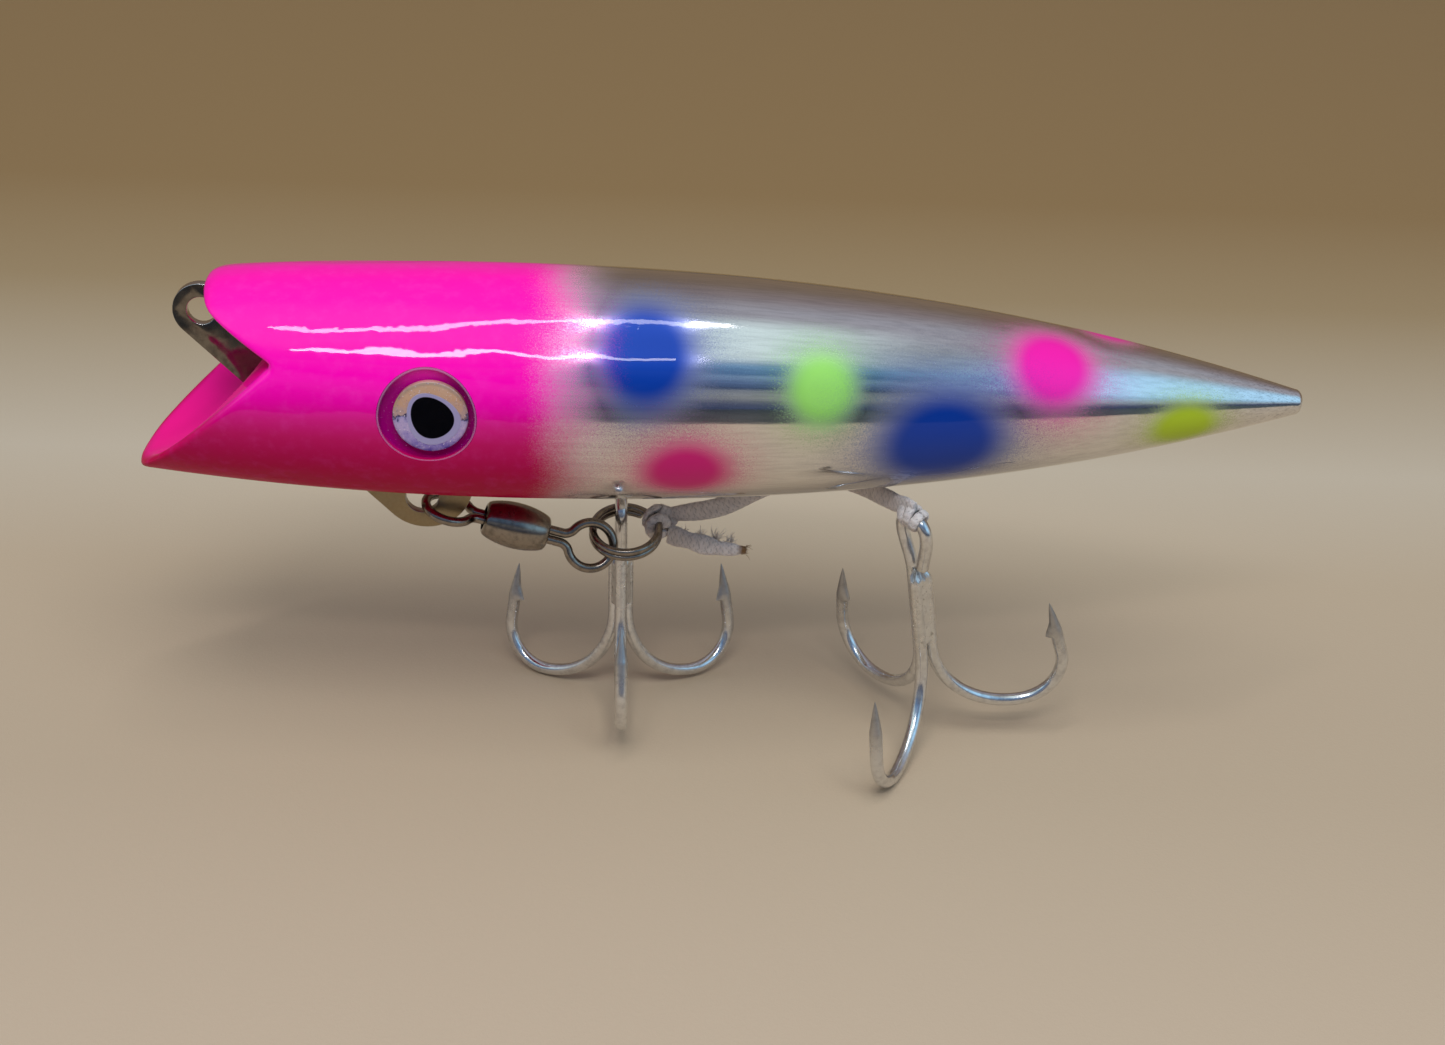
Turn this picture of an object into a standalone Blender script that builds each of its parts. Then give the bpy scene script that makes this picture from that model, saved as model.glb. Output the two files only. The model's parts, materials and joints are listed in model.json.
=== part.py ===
"""Topwater popper: a turned wooden fishing lure with a swivel-hung treble and a corded tail treble.

Lengths are written in millimetres and multiplied by MM where a mesh is made, so the scene is in metres.
The long axis is X, nose towards -X. The lure's left side faces -Y and its back faces +Z.
"Station" is a distance behind the tip of the lower lip, measured along the long axis.
"""

import math

import bmesh
import bpy
from mathutils import Matrix, Vector

MM = 0.001
GAP = 0.3  # clearance between pieces that touch

# Body
ORIGIN_STATION = 77.0  # where the row's origin sits on the long axis
BODY_LENGTH = 180.0
BODY_RADIUS = 17.95
WIDEST_STATION = 57.0
NOSE_RADIUS = 14.3
TAIL_TAPER = 0.905  # share of the radius lost at the tail
TAIL_POWER = 2.22
TAIL_ROUND = 1.2
BODY_SEGMENTS = 36

# Mouth: two cut planes that meet in a corner on the side of the head, and a scooped lower jaw
MOUTH_CORNER = (23.3, 7.3)
LOWER_CUT_ANGLE = 42.0
UPPER_CUT_ANGLE = 36.5
UPPER_LIP_STATION = 12.9
SCOOP_DEPTH = 4.0
SCOOP_HALF_WIDTH = 13.0

# Eyes
EYE_STATION = 45.4
EYE_HEIGHT = 1.1
SOCKET_RADIUS = 7.15
SOCKET_FLOOR = 15.0  # distance of the socket's flat floor from the centre plane
EYE_DISC_RADIUS = 5.4
EYE_DISC_THICKNESS = 0.4
EYE_DOME_PROUD = 0.4

# One flat stainless bar runs at a slant from the line tie in the mouth to the hook hanger on the belly
PLATE_THICKNESS = 1.6
PLATE_ANGLE = -44.4
LINE_TIE = (10.8, 10.15)
LINE_TIE_HOLE = 2.15
PLATE_HALF_WIDTH = 4.25
HANGER_DISTANCE = 43.0  # from the line tie, along the bar
HANGER_RADIUS = 7.3
HANGER_HOLE = (43.1, -19.9)
HANGER_HOLE_RADIUS = 2.6
LOCK_PIN_DISTANCE = 22.0
LOCK_PIN_RADIUS = 1.0

# Lead slugs in bores drilled up from the belly, closed by wooden plugs
BALLAST_STATIONS = (86.0, 106.0)
BALLAST_RADIUS = 5.0
BALLAST_TOP = -2.5
BALLAST_BOTTOM = -12.0

# Swivel
SWIVEL_PIVOT = (43.6, 0.0, -21.1)
SWIVEL_EYE_CENTRE = (69.4, 1.5, -28.85)
SWIVEL_WIRE = 0.7
SWIVEL_LOOP = 3.7
SWIVEL_LEG = 0.78
SWIVEL_FILLET = 2.0
BARREL_START = 9.5
BARREL_LENGTH = 10.4
BARREL_END_RADIUS = 2.45
BARREL_BULGE = 1.25
BARREL_BORE = 1.95
BARREL_WALL = 0.55
HEAD_RADIUS = 2.3
HEAD_LENGTH = 1.3
HEAD_INSET = 1.8

# Split ring: two close turns of round wire
RING_CENTRE = (75.15, 3.9, -27.4)
RING_TILT = 20.0  # the side nearer the eye hangs lower
RING_RADIUS = 5.3
RING_WIRE = 0.55
RING_PITCH = 1.2
RING_TURNS = 1.93
RING_START = 60.0

# Treble hooks
HOOK_WIRE = 0.9
HOOK_SHANK_OFFSET = 1.2
HOOK_EYE_RADIUS = 2.9
HOOK_EYE_NECK = 7.8
HOOK_POINT_LEAN = 9.0
HOOK_POINT_LENGTH = 10.4
HOOK_TAPER_LENGTH = 5.5
FRONT_TREBLE_PLACE = 98.0  # angle round the split ring
FRONT_TREBLE_AXIS = (0.021, -0.137, -0.99)
FRONT_TREBLE_TURN = -90.0
FRONT_TREBLE_SHANK = 17.3
FRONT_TREBLE_BENDS = (13.4, 6.8)  # radius next to the shank, radius under the point
REAR_TREBLE_EYE = (119.5, -9.6, -19.4)
REAR_TREBLE_AXIS = (0.174, 0.127, -0.976)
REAR_TREBLE_TURN = 123.0
REAR_TREBLE_SHANK = 22.5
REAR_TREBLE_BENDS = (13.9, 7.2)

# Flat braided cord from the split ring to the tail treble
CORD_WIDTH = 1.45
CORD_THICKNESS = 0.5
CORD_BEND = (104.0, 2.2, -18.7)
HITCH_PLACE = 14.0
HITCH_SPREAD = 19.0
WRAP_SPREAD = 32.0


def place(station, side, height):
    """A point given by its station, its distance from the centre plane and its height, in metres."""
    return Vector((station - ORIGIN_STATION, side, height)) * MM


def body_radius(station):
    if station <= WIDEST_STATION:
        share = (WIDEST_STATION - station) / WIDEST_STATION
        return BODY_RADIUS - (BODY_RADIUS - NOSE_RADIUS) * share ** 2
    share = (station - WIDEST_STATION) / (BODY_LENGTH - WIDEST_STATION)
    return BODY_RADIUS * (1 - TAIL_TAPER * share ** TAIL_POWER)


# ---------------------------------------------------------------- materials and objects

def material(name, colour, roughness, metallic):
    made = bpy.data.materials.new(name)
    made.use_nodes = True
    shader = made.node_tree.nodes["Principled BSDF"]
    shader.inputs["Base Color"].default_value = (*colour, 1.0)
    shader.inputs["Roughness"].default_value = roughness
    shader.inputs["Metallic"].default_value = metallic
    return made


def add_object(name, data, finish=None, pivot=None):
    """Links a mesh or curve as an object. With a pivot, the origin moves there and the shape stays put."""
    if finish is not None:
        data.materials.append(finish)
    made = bpy.data.objects.new(name, data)
    bpy.context.scene.collection.objects.link(made)
    if pivot is not None:
        data.transform(Matrix.Translation(-Vector(pivot)))
        made.location = pivot
    return made


def mesh_from(name, bm, smooth=True):
    bmesh.ops.recalc_face_normals(bm, faces=bm.faces)
    mesh = bpy.data.meshes.new(name)
    bm.to_mesh(mesh)
    bm.free()
    if smooth:
        mesh.shade_smooth()
        mesh.set_sharp_from_angle(angle=math.radians(35))
    return mesh


def cutter(name, mesh):
    made = add_object(name, mesh)
    made.hide_render = True
    made.display_type = "WIRE"
    return made


def combine(target, tool, operation="DIFFERENCE"):
    step = target.modifiers.new(tool.name, "BOOLEAN")
    step.operation = operation
    step.solver = "EXACT"
    step.object = tool


def joint_empty(name, pivot):
    made = bpy.data.objects.new(name, None)
    made.empty_display_size = 5 * MM
    made.location = pivot
    bpy.context.scene.collection.objects.link(made)
    return made


# ---------------------------------------------------------------- shapes

def turned(name, profile, segments):
    """Spins a closed outline of (distance along X, radius) points, in millimetres, about the X axis."""
    bm = bmesh.new()
    ring = [bm.verts.new((x * MM, 0.0, r * MM)) for x, r in profile]
    edges = [bm.edges.new((a, b)) for a, b in zip(ring, ring[1:])]
    if profile[0][1] > 0:
        edges.append(bm.edges.new((ring[-1], ring[0])))
    bmesh.ops.spin(bm, geom=ring + edges, cent=(0, 0, 0), axis=(1, 0, 0), angle=math.tau,
                   steps=segments, use_merge=True)
    bmesh.ops.remove_doubles(bm, verts=bm.verts, dist=1e-7)
    return mesh_from(name, bm)


def prism(name, outline, half_thickness):
    """Extrudes a (station, height) outline across the centre plane."""
    bm = bmesh.new()
    near = [bm.verts.new(place(x, -half_thickness, z)) for x, z in outline]
    face = bm.faces.new(near)
    grown = bmesh.ops.extrude_face_region(bm, geom=[face])
    moved = [item for item in grown["geom"] if isinstance(item, bmesh.types.BMVert)]
    bmesh.ops.translate(bm, verts=moved, vec=(0, 2 * half_thickness * MM, 0))
    return mesh_from(name, bm)


def cylinder(name, centre, axis, radius, length, segments=32):
    bm = bmesh.new()
    turn = Vector((0, 0, 1)).rotation_difference(Vector(axis)).to_matrix().to_4x4()
    bmesh.ops.create_cone(bm, cap_ends=True, segments=segments, radius1=radius * MM, radius2=radius * MM,
                          depth=length * MM, matrix=Matrix.Translation(centre) @ turn)
    return mesh_from(name, bm)


def arc(centre, radius, start, end, steps):
    """Points on an arc in a plane, with angles in degrees."""
    turns = [math.radians(start + (end - start) * i / steps) for i in range(steps + 1)]
    return [(centre[0] + radius * math.cos(t), centre[1] + radius * math.sin(t)) for t in turns]


def wire(name, points, radius, closed=False, taper=None, sides=2):
    """A round wire along points in metres, as a curve with a bevel and filled caps."""
    data = bpy.data.curves.new(name, "CURVE")
    data.dimensions = "3D"
    data.bevel_depth = radius * MM
    data.bevel_resolution = sides
    data.use_fill_caps = not closed
    spline = data.splines.new("POLY")
    spline.points.add(len(points) - 1)
    for i, point in enumerate(points):
        spline.points[i].co = (*point, 1.0)
        spline.points[i].radius = 1.0 if taper is None else taper[i]
    spline.use_cyclic_u = closed
    return data


def solid_from_wire(name, data):
    """The bevelled wire as a mesh, so that other shapes can be joined to it."""
    holder = bpy.data.objects.new(name, data)
    mesh = bpy.data.meshes.new_from_object(holder)
    bpy.data.objects.remove(holder)
    bpy.data.curves.remove(data)
    mesh.name = name
    return mesh


def loft(name, rings, closed=False):
    """Joins rings of the same number of points, in metres, into one closed body."""
    bm = bmesh.new()
    rows = [[bm.verts.new(point) for point in ring] for ring in rings]
    pairs = list(zip(rows, rows[1:]))
    if closed:
        pairs.append((rows[-1], rows[0]))
    for low, high in pairs:
        for i in range(len(low)):
            j = (i + 1) % len(low)
            bm.faces.new((low[i], low[j], high[j], high[i]))
    if not closed:
        bm.faces.new(rows[0][::-1])
        bm.faces.new(rows[-1])
    return mesh_from(name, bm)


# ---------------------------------------------------------------- body

def body_outline():
    stations = [0.0] + [BODY_LENGTH * i / 26 for i in range(1, 26)]
    points = [(stations[0], 0.0)]
    points += [(s, body_radius(s)) for s in stations]
    tail = body_radius(BODY_LENGTH - TAIL_ROUND)
    points += [(BODY_LENGTH - TAIL_ROUND + TAIL_ROUND * math.sin(math.radians(a)), tail * math.cos(math.radians(a)))
               for a in (0, 30, 60)]
    points.append((BODY_LENGTH, 0.0))
    return [(s - ORIGIN_STATION, r) for s, r in points]


def mouth_outline():
    """The V that is sawn out of the nose, seen from the side."""
    corner_x, corner_z = MOUTH_CORNER
    reach = 60.0
    low = math.radians(LOWER_CUT_ANGLE)
    rise = (corner_x - UPPER_LIP_STATION) * math.tan(math.radians(UPPER_CUT_ANGLE))
    return [
        (corner_x, corner_z),
        (UPPER_LIP_STATION, corner_z + rise),
        (UPPER_LIP_STATION, reach),
        (corner_x - reach, reach),
        (corner_x - reach * math.cos(low), corner_z - reach * math.sin(low)),
    ]


def scoop_mesh():
    """A ball that hollows the lower jaw between its side rims."""
    low = math.radians(LOWER_CUT_ANGLE)
    jaw_length = MOUTH_CORNER[0] / math.cos(low)
    ball = (SCOOP_HALF_WIDTH ** 2 + SCOOP_DEPTH ** 2) / (2 * SCOOP_DEPTH)
    middle_x = MOUTH_CORNER[0] - 0.5 * jaw_length * math.cos(low)
    middle_z = MOUTH_CORNER[1] - 0.5 * jaw_length * math.sin(low)
    lift = ball - SCOOP_DEPTH
    centre = place(middle_x - lift * math.sin(low), 0.0, middle_z + lift * math.cos(low))
    bm = bmesh.new()
    bmesh.ops.create_icosphere(bm, subdivisions=3, radius=ball * MM, matrix=Matrix.Translation(centre))
    return mesh_from("scoop_cutter", bm)


def plate_outline(grow=0.0):
    """The slanting bar: a round head at the line tie and a round hanger tab whose front is the bar's edge."""
    turn = math.radians(PLATE_ANGLE)
    along = Vector((math.cos(turn), math.sin(turn)))
    across = Vector((-along.y, along.x))
    head = Vector(LINE_TIE)
    half = PLATE_HALF_WIDTH + grow
    tab = HANGER_RADIUS + grow
    tab_centre = head + along * HANGER_DISTANCE + across * (HANGER_RADIUS - PLATE_HALF_WIDTH)
    points = arc(head, half, PLATE_ANGLE + 90, PLATE_ANGLE + 270, 14)
    points += arc(tab_centre, tab, PLATE_ANGLE - 90, PLATE_ANGLE + 84, 16)
    shoulder = head + along * (HANGER_DISTANCE - HANGER_RADIUS - 4.0) + across * half
    points.append(tuple(shoulder))
    return points


def ballast_bore(station, radius, top):
    height = 40.0
    return cylinder(f"bore_{station:.0f}_cutter", place(station, 0, top - height / 2), (0, 0, 1), radius, height)


def make_body(finish):
    body = add_object("body", turned("body", body_outline(), BODY_SEGMENTS), finish)
    tools = [
        cutter("mouth_cutter", prism("mouth_cutter", mouth_outline(), 30.0)),
        cutter("scoop_cutter", scoop_mesh()),
        cutter("plate_slot_cutter", prism("plate_slot_cutter", plate_outline(GAP), PLATE_THICKNESS / 2 + GAP)),
        cutter("lock_pin_bore_cutter",
               cylinder("lock_pin_bore_cutter", lock_pin_centre(), (0, 1, 0), LOCK_PIN_RADIUS + GAP, 60.0, 16)),
    ]
    for side in (-1, 1):
        depth = 20.0
        centre = place(EYE_STATION, side * (SOCKET_FLOOR + depth / 2), EYE_HEIGHT)
        tools.append(cutter(f"socket_{side}_cutter",
                            cylinder("socket_cutter", centre, (0, 1, 0), SOCKET_RADIUS + GAP, depth, 40)))
    for station in BALLAST_STATIONS:
        tools.append(cutter(f"bore_{station:.0f}_cutter",
                            ballast_bore(station, BALLAST_RADIUS + GAP, BALLAST_TOP + GAP)))
    for tool in tools:
        combine(body, tool)
    return body


def lock_pin_centre():
    turn = math.radians(PLATE_ANGLE)
    return place(LINE_TIE[0] + LOCK_PIN_DISTANCE * math.cos(turn), 0.0,
                 LINE_TIE[1] + LOCK_PIN_DISTANCE * math.sin(turn))


def make_plate(finish):
    plate = add_object("spine_plate", prism("spine_plate", plate_outline(), PLATE_THICKNESS / 2), finish)
    holes = [
        ("line_tie_hole", place(LINE_TIE[0], 0, LINE_TIE[1]), LINE_TIE_HOLE),
        ("hanger_hole", place(HANGER_HOLE[0], 0, HANGER_HOLE[1]), HANGER_HOLE_RADIUS),
        ("lock_pin_hole", lock_pin_centre(), LOCK_PIN_RADIUS + GAP),
    ]
    for name, centre, radius in holes:
        combine(plate, cutter(f"{name}_cutter", cylinder(f"{name}_cutter", centre, (0, 1, 0), radius, 10.0, 24)))


def make_lock_pin(finish):
    pin_station = lock_pin_centre().x / MM + ORIGIN_STATION
    chord = math.sqrt(body_radius(pin_station) ** 2 - (lock_pin_centre().z / MM) ** 2)
    add_object("plate_lock_pin",
               cylinder("plate_lock_pin", lock_pin_centre(), (0, 1, 0), LOCK_PIN_RADIUS, 2 * (chord - 1.0), 16), finish)


def make_ballast(lead, wood):
    for label, station in zip(("front", "rear"), BALLAST_STATIONS):
        middle = (BALLAST_TOP + BALLAST_BOTTOM) / 2
        add_object(f"ballast_{label}",
                   cylinder("ballast", place(station, 0, middle), (0, 0, 1), BALLAST_RADIUS,
                            BALLAST_TOP - BALLAST_BOTTOM), lead)
        plug_top = BALLAST_BOTTOM - GAP
        skin = math.sqrt(body_radius(station + BALLAST_RADIUS) ** 2 - BALLAST_RADIUS ** 2)
        plug_height = skin - 0.2 + plug_top
        add_object(f"ballast_plug_{label}",
                   cylinder("ballast_plug", place(station, 0, plug_top - plug_height / 2), (0, 0, 1),
                            BALLAST_RADIUS, plug_height), wood)


# ---------------------------------------------------------------- eyes

def dome_mesh(side):
    """Clear resin cast in the socket: flat underneath, and following the body's curve outside."""
    floor = SOCKET_FLOOR + GAP + EYE_DISC_THICKNESS + GAP
    spokes = 32
    rims = 5
    bm = bmesh.new()

    def outer(share, turn):
        station = EYE_STATION + SOCKET_RADIUS * share * math.cos(turn)
        height = EYE_HEIGHT + SOCKET_RADIUS * share * math.sin(turn)
        proud = EYE_DOME_PROUD * (1 - share ** 2)
        depth = math.sqrt((body_radius(station) + proud) ** 2 - height ** 2)
        return bm.verts.new(place(station, side * depth, height))

    turns = [math.tau * i / spokes for i in range(spokes)]
    rows = [[outer(rim / rims, turn) for turn in turns] for rim in range(1, rims + 1)]
    rows.append([bm.verts.new(place(EYE_STATION + SOCKET_RADIUS * math.cos(turn), side * floor,
                                    EYE_HEIGHT + SOCKET_RADIUS * math.sin(turn))) for turn in turns])
    crown = outer(0.0, 0.0)
    for i in range(spokes):
        j = (i + 1) % spokes
        bm.faces.new((crown, rows[0][i], rows[0][j]))
        for low, high in zip(rows, rows[1:]):
            bm.faces.new((low[i], high[i], high[j], low[j]))
    bm.faces.new(rows[-1])
    return mesh_from("eye_dome", bm)


def make_eyes(foil, resin):
    for label, side in (("left", -1), ("right", 1)):
        depth = SOCKET_FLOOR + GAP + EYE_DISC_THICKNESS / 2
        add_object(f"eye_disc_{label}",
                   cylinder("eye_disc", place(EYE_STATION, side * depth, EYE_HEIGHT), (0, 1, 0),
                            EYE_DISC_RADIUS, EYE_DISC_THICKNESS, 36), foil)
        add_object(f"eye_dome_{label}", dome_mesh(side), resin)


# ---------------------------------------------------------------- swivel

def swivel_axis():
    return (place(*SWIVEL_EYE_CENTRE) - place(*SWIVEL_PIVOT)).normalized()


def loop_points(centre, outward, lateral, leg_length):
    """A pear-shaped wire eye in the plane of outward and lateral, ending in two legs side by side."""
    reach = SWIVEL_LOOP + SWIVEL_FILLET
    rise = SWIVEL_LEG + SWIVEL_FILLET
    back = math.sqrt(reach ** 2 - rise ** 2)
    meet = math.degrees(math.atan2(rise, -back))
    loop = arc((0, 0), SWIVEL_LOOP, -meet, meet, 26)
    upper = arc((-back, rise), SWIVEL_FILLET, meet - 180, -90, 5)[1:]
    lower = [(s, -w) for s, w in reversed(upper)]
    flat = [(-leg_length, -SWIVEL_LEG)] + lower + loop + upper + [(-leg_length, SWIVEL_LEG)]
    return [centre + outward * (s * MM) + lateral * (w * MM) for s, w in flat]


def swivel_eye(name, centre, outward, lateral, head_distance, pivot, finish):
    """A wire eye whose two legs end in a turned head that the barrel traps."""
    leg_length = head_distance + HEAD_LENGTH * 0.5
    bent = wire(name, loop_points(centre, outward, lateral, leg_length), SWIVEL_WIRE)
    eye = add_object(name, solid_from_wire(name, bent), finish, pivot)
    head = cylinder(f"{name}_head", centre - outward * (head_distance + HEAD_LENGTH / 2) * MM,
                    outward, HEAD_RADIUS, HEAD_LENGTH, 20)
    combine(eye, cutter(f"{name}_head", head), "UNION")
    return eye


def barrel_profile():
    """The barrel's wall: round outside, hollow inside, with a bore at each end for the eye's legs."""
    steps = 12
    outer = []
    inner = []
    for i in range(steps + 1):
        along = BARREL_LENGTH * i / steps
        swell = BARREL_BULGE * max(0.0, math.sin(math.pi * i / steps)) ** 0.7
        outer.append((along, BARREL_END_RADIUS + swell))
        if 1 <= i <= steps - 1:
            inner.append((along, BARREL_END_RADIUS + swell - BARREL_WALL))
    inner = [(0.0, BARREL_BORE), (0.85, BARREL_BORE)] + inner[1:-1]
    inner += [(BARREL_LENGTH - 0.85, BARREL_BORE), (BARREL_LENGTH, BARREL_BORE)]
    return outer + inner[::-1]


def make_swivel(finish):
    axis = swivel_axis()
    pivot = place(*SWIVEL_PIVOT)
    length = (place(*SWIVEL_EYE_CENTRE) - pivot).length / MM
    front_centre = pivot + axis * SWIVEL_LOOP * MM
    front_side = Vector((0, -math.cos(math.radians(6)), -math.sin(math.radians(6))))
    front_side = (front_side - axis * front_side.dot(axis)).normalized()
    rear_side = Vector((0, math.sin(math.radians(20)), math.cos(math.radians(20))))
    rear_side = (rear_side - axis * rear_side.dot(axis)).normalized()
    front_head = BARREL_START + HEAD_INSET - SWIVEL_LOOP
    rear_head = length - (BARREL_START + BARREL_LENGTH - HEAD_INSET)
    swivel_eye("swivel_front_eye", front_centre, -axis, front_side, front_head, pivot, finish)
    swivel_eye("swivel_rear_eye", place(*SWIVEL_EYE_CENTRE), axis, rear_side, rear_head,
               place(*SWIVEL_EYE_CENTRE), finish)
    barrel = add_object("swivel_barrel", turned("swivel_barrel", barrel_profile(), 28), finish)
    barrel.location = pivot + axis * BARREL_START * MM
    barrel.rotation_mode = "QUATERNION"
    barrel.rotation_quaternion = Vector((1, 0, 0)).rotation_difference(axis)


# ---------------------------------------------------------------- split ring

def ring_frame():
    """The ring's centre and its three directions: along X, towards its raised far side, and its normal."""
    tilt = math.radians(RING_TILT)
    return (place(*RING_CENTRE), Vector((1, 0, 0)), Vector((0, math.cos(tilt), math.sin(tilt))),
            Vector((0, -math.sin(tilt), math.cos(tilt))))


def ring_point(angle, radius=RING_RADIUS, lift=0.0):
    centre, right, far, normal = ring_frame()
    turn = math.radians(angle)
    return centre + (right * math.cos(turn) + far * math.sin(turn)) * radius * MM + normal * lift * MM


def make_split_ring(finish):
    steps = 76
    points = []
    for i in range(steps + 1):
        share = i / steps
        points.append(ring_point(RING_START + 360 * RING_TURNS * share, lift=RING_PITCH * RING_TURNS * (share - 0.5)))
    add_object("split_ring", wire("split_ring", points, RING_WIRE, sides=2), finish, ring_point(180))


# ---------------------------------------------------------------- treble hooks

def hook_profile(shank, bends):
    """One hook as (distance from the shank's axis, depth below the eye) points."""
    wide, tight = bends
    bottom = HOOK_SHANK_OFFSET + wide
    points = [(HOOK_SHANK_OFFSET, shank * 0.7)]
    points += [(bottom - wide * math.cos(math.radians(a)), shank + wide * math.sin(math.radians(a)))
               for a in range(0, 90, 10)]
    last = 90 + HOOK_POINT_LEAN
    points += [(bottom + tight * math.sin(math.radians(a)), shank + wide - tight * (1 - math.cos(math.radians(a))))
               for a in [last * i / 10 for i in range(11)]]
    lean = math.radians(last)
    foot = points[-1]
    for i in range(1, 6):
        run = HOOK_POINT_LENGTH * i / 5
        points.append((foot[0] + run * math.cos(lean), foot[1] - run * math.sin(lean)))
    return points


def hook_taper(points):
    """The wire's thickness at each point: full, then falling to a sharp tip."""
    tip = Vector(points[-1])
    return [max(0.06, min(1.0, ((Vector(p) - tip).length / HOOK_TAPER_LENGTH) ** 0.8)) for p in points]


def eye_profile():
    """The wire eye above the shank, from the hook's side over the top to its butted end."""
    def neck(depth):
        return HOOK_SHANK_OFFSET + (HOOK_EYE_RADIUS - HOOK_SHANK_OFFSET) * (
            0.5 + 0.5 * math.cos(math.pi * depth / HOOK_EYE_NECK))

    rise = [(neck(HOOK_EYE_NECK * i / 6), HOOK_EYE_NECK * i / 6) for i in range(6, 0, -1)]
    crown = [(x, -y) for x, y in arc((0, 0), HOOK_EYE_RADIUS, 0, 180, 14)]
    fall = [(-neck(HOOK_EYE_NECK * i / 6), HOOK_EYE_NECK * i / 6) for i in range(1, 6)]
    return rise + crown + fall


def make_treble(name, eye, axis, turn, profile, finish):
    """Three hooks round one shank. The first carries the eye, in its own plane, and the others butt under it."""
    down = Vector(axis).normalized()
    ahead = Vector((1, 0, 0))
    ahead = (ahead - down * ahead.dot(down)).normalized()
    aside = ahead.cross(down)
    hub = joint_empty(f"{name}_joint", eye)
    for label, extra in (("eye_hook", 0.0), ("left_hook", -120.0), ("right_hook", 120.0)):
        angle = math.radians(turn + extra)
        out = ahead * math.cos(angle) + aside * math.sin(angle)
        flat = profile
        taper = hook_taper(profile)
        if label == "eye_hook":
            loop = eye_profile()[::-1]
            flat = loop + profile
            taper = [1.0] * len(loop) + taper
        else:
            flat = [(HOOK_SHANK_OFFSET, HOOK_EYE_NECK + 0.6)] + profile
            taper = [1.0] + taper
        points = [(out * r + down * d) * MM for r, d in flat]
        made = add_object(f"{name}_{label}", wire(name, points, HOOK_WIRE, taper=taper), finish)
        made.parent = hub


# ---------------------------------------------------------------- cord

def oval(centre, across, up, half_thickness, half_width, count=10):
    return [centre + across * (half_thickness * math.cos(math.tau * i / count) * MM)
            + up * (half_width * math.sin(math.tau * i / count) * MM) for i in range(count)]


def strap(name, points, widths, thicknesses, up=Vector((0, 0, 1))):
    """A flat cord along points in metres, standing on edge so that its broad side faces sideways."""
    rings = []
    for i, point in enumerate(points):
        ahead = (points[min(i + 1, len(points) - 1)] - points[max(i - 1, 0)]).normalized()
        across = ahead.cross(up).normalized()
        rings.append(oval(point, across, across.cross(ahead), thicknesses[i], widths[i]))
    return loft(name, rings)


def smooth_path(anchors, steps):
    """A Catmull-Rom curve through the anchors."""
    ends = [anchors[0] * 2 - anchors[1]] + anchors + [anchors[-1] * 2 - anchors[-2]]
    points = []
    for a, b, c, d in zip(ends, ends[1:], ends[2:], ends[3:]):
        for i in range(steps):
            t = i / steps
            points.append(0.5 * ((2 * b) + (c - a) * t + (2 * a - 5 * b + 4 * c - d) * t ** 2
                                 + (3 * b - a - 3 * c + d) * t ** 3))
    points.append(anchors[-1])
    return points


def sleeve(name, frame_at, inner, outer, steps):
    """A tube round a bent wire: frame_at gives the wire's centre and its two cross directions at each step."""
    count = 14
    rows = []
    for i in range(steps + 1):
        centre, first, second = frame_at(i / steps)
        for size in (inner, outer):
            rows.append([centre + first * (size[0] * math.cos(math.tau * k / count) * MM)
                         + second * (size[1] * math.sin(math.tau * k / count) * MM) for k in range(count)])
    inside = rows[0::2]
    outside = rows[1::2]
    return loft(name, outside + inside[::-1], closed=True)


def make_cord(finish):
    hitch_centre = ring_point(HITCH_PLACE)

    def ring_wrap(share):
        angle = HITCH_PLACE + HITCH_SPREAD * (2 * share - 1)
        centre = ring_point(angle, lift=0.48)
        normal = ring_frame()[3]
        return centre, (centre - ring_frame()[0]).normalized(), normal

    hitch = sleeve("cord_ring_hitch", ring_wrap, (1.5, 1.75), (2.05, 2.35), 6)
    add_object("cord_ring_hitch", hitch, finish, hitch_centre)

    bend = place(*CORD_BEND)
    run_start = ring_point(HITCH_PLACE, RING_RADIUS + 2.9, 0.5)
    front_anchors = [run_start, place(90.0, 4.2, -23.4), place(97.0, 3.4, -20.6)]
    ahead = (bend - front_anchors[-1]).normalized()
    front_path = smooth_path(front_anchors + [bend - ahead * 0.45 * MM], 5)
    add_object("cord_front_run", cord_strap("cord_front_run", front_path), finish, hitch_centre)

    tag_path = smooth_path([ring_point(HITCH_PLACE - 12, RING_RADIUS + 2.6, -2.0),
                            place(88.5, 3.2, -29.3), place(94.3, 2.0, -29.6)], 4)
    widths = [CORD_WIDTH * (1.0 - 0.45 * i / (len(tag_path) - 1)) for i in range(len(tag_path))]
    add_object("cord_tag_end", strap("cord_tag_end", tag_path, widths, [CORD_THICKNESS] * len(tag_path)),
               finish, hitch_centre)

    eye, down, out = rear_treble_frame()

    def eye_wrap(share):
        angle = math.radians(90 + WRAP_SPREAD * (2 * share - 1))
        spoke = out * math.cos(angle) - down * math.sin(angle)
        return eye + spoke * HOOK_EYE_RADIUS * MM, spoke, out.cross(down)

    add_object("cord_hook_wrap", sleeve("cord_hook_wrap", eye_wrap, (1.4, 1.4), (1.95, 1.95), 6), finish, bend)
    run_end = eye - down * (HOOK_EYE_RADIUS + 0.9) * MM + out * 2.9 * MM
    rear_anchors = [bend + Vector((1.0, -0.25, 0.02)).normalized() * 0.45 * MM, place(111.0, -1.0, -18.0),
                    place(115.0, -5.0, -16.7), run_end]
    add_object("cord_rear_run", cord_strap("cord_rear_run", smooth_path(rear_anchors, 5)), finish, bend)


def cord_strap(name, path):
    """The flat cord, slimmed near its ends so that neighbouring lengths can bend past each other."""
    widths = []
    for i, point in enumerate(path):
        edge = min((point - path[0]).length, (point - path[-1]).length) / MM
        widths.append(CORD_WIDTH * min(1.0, 0.3 + 0.35 * edge))
    return strap(name, path, widths, [CORD_THICKNESS] * len(path))


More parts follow.
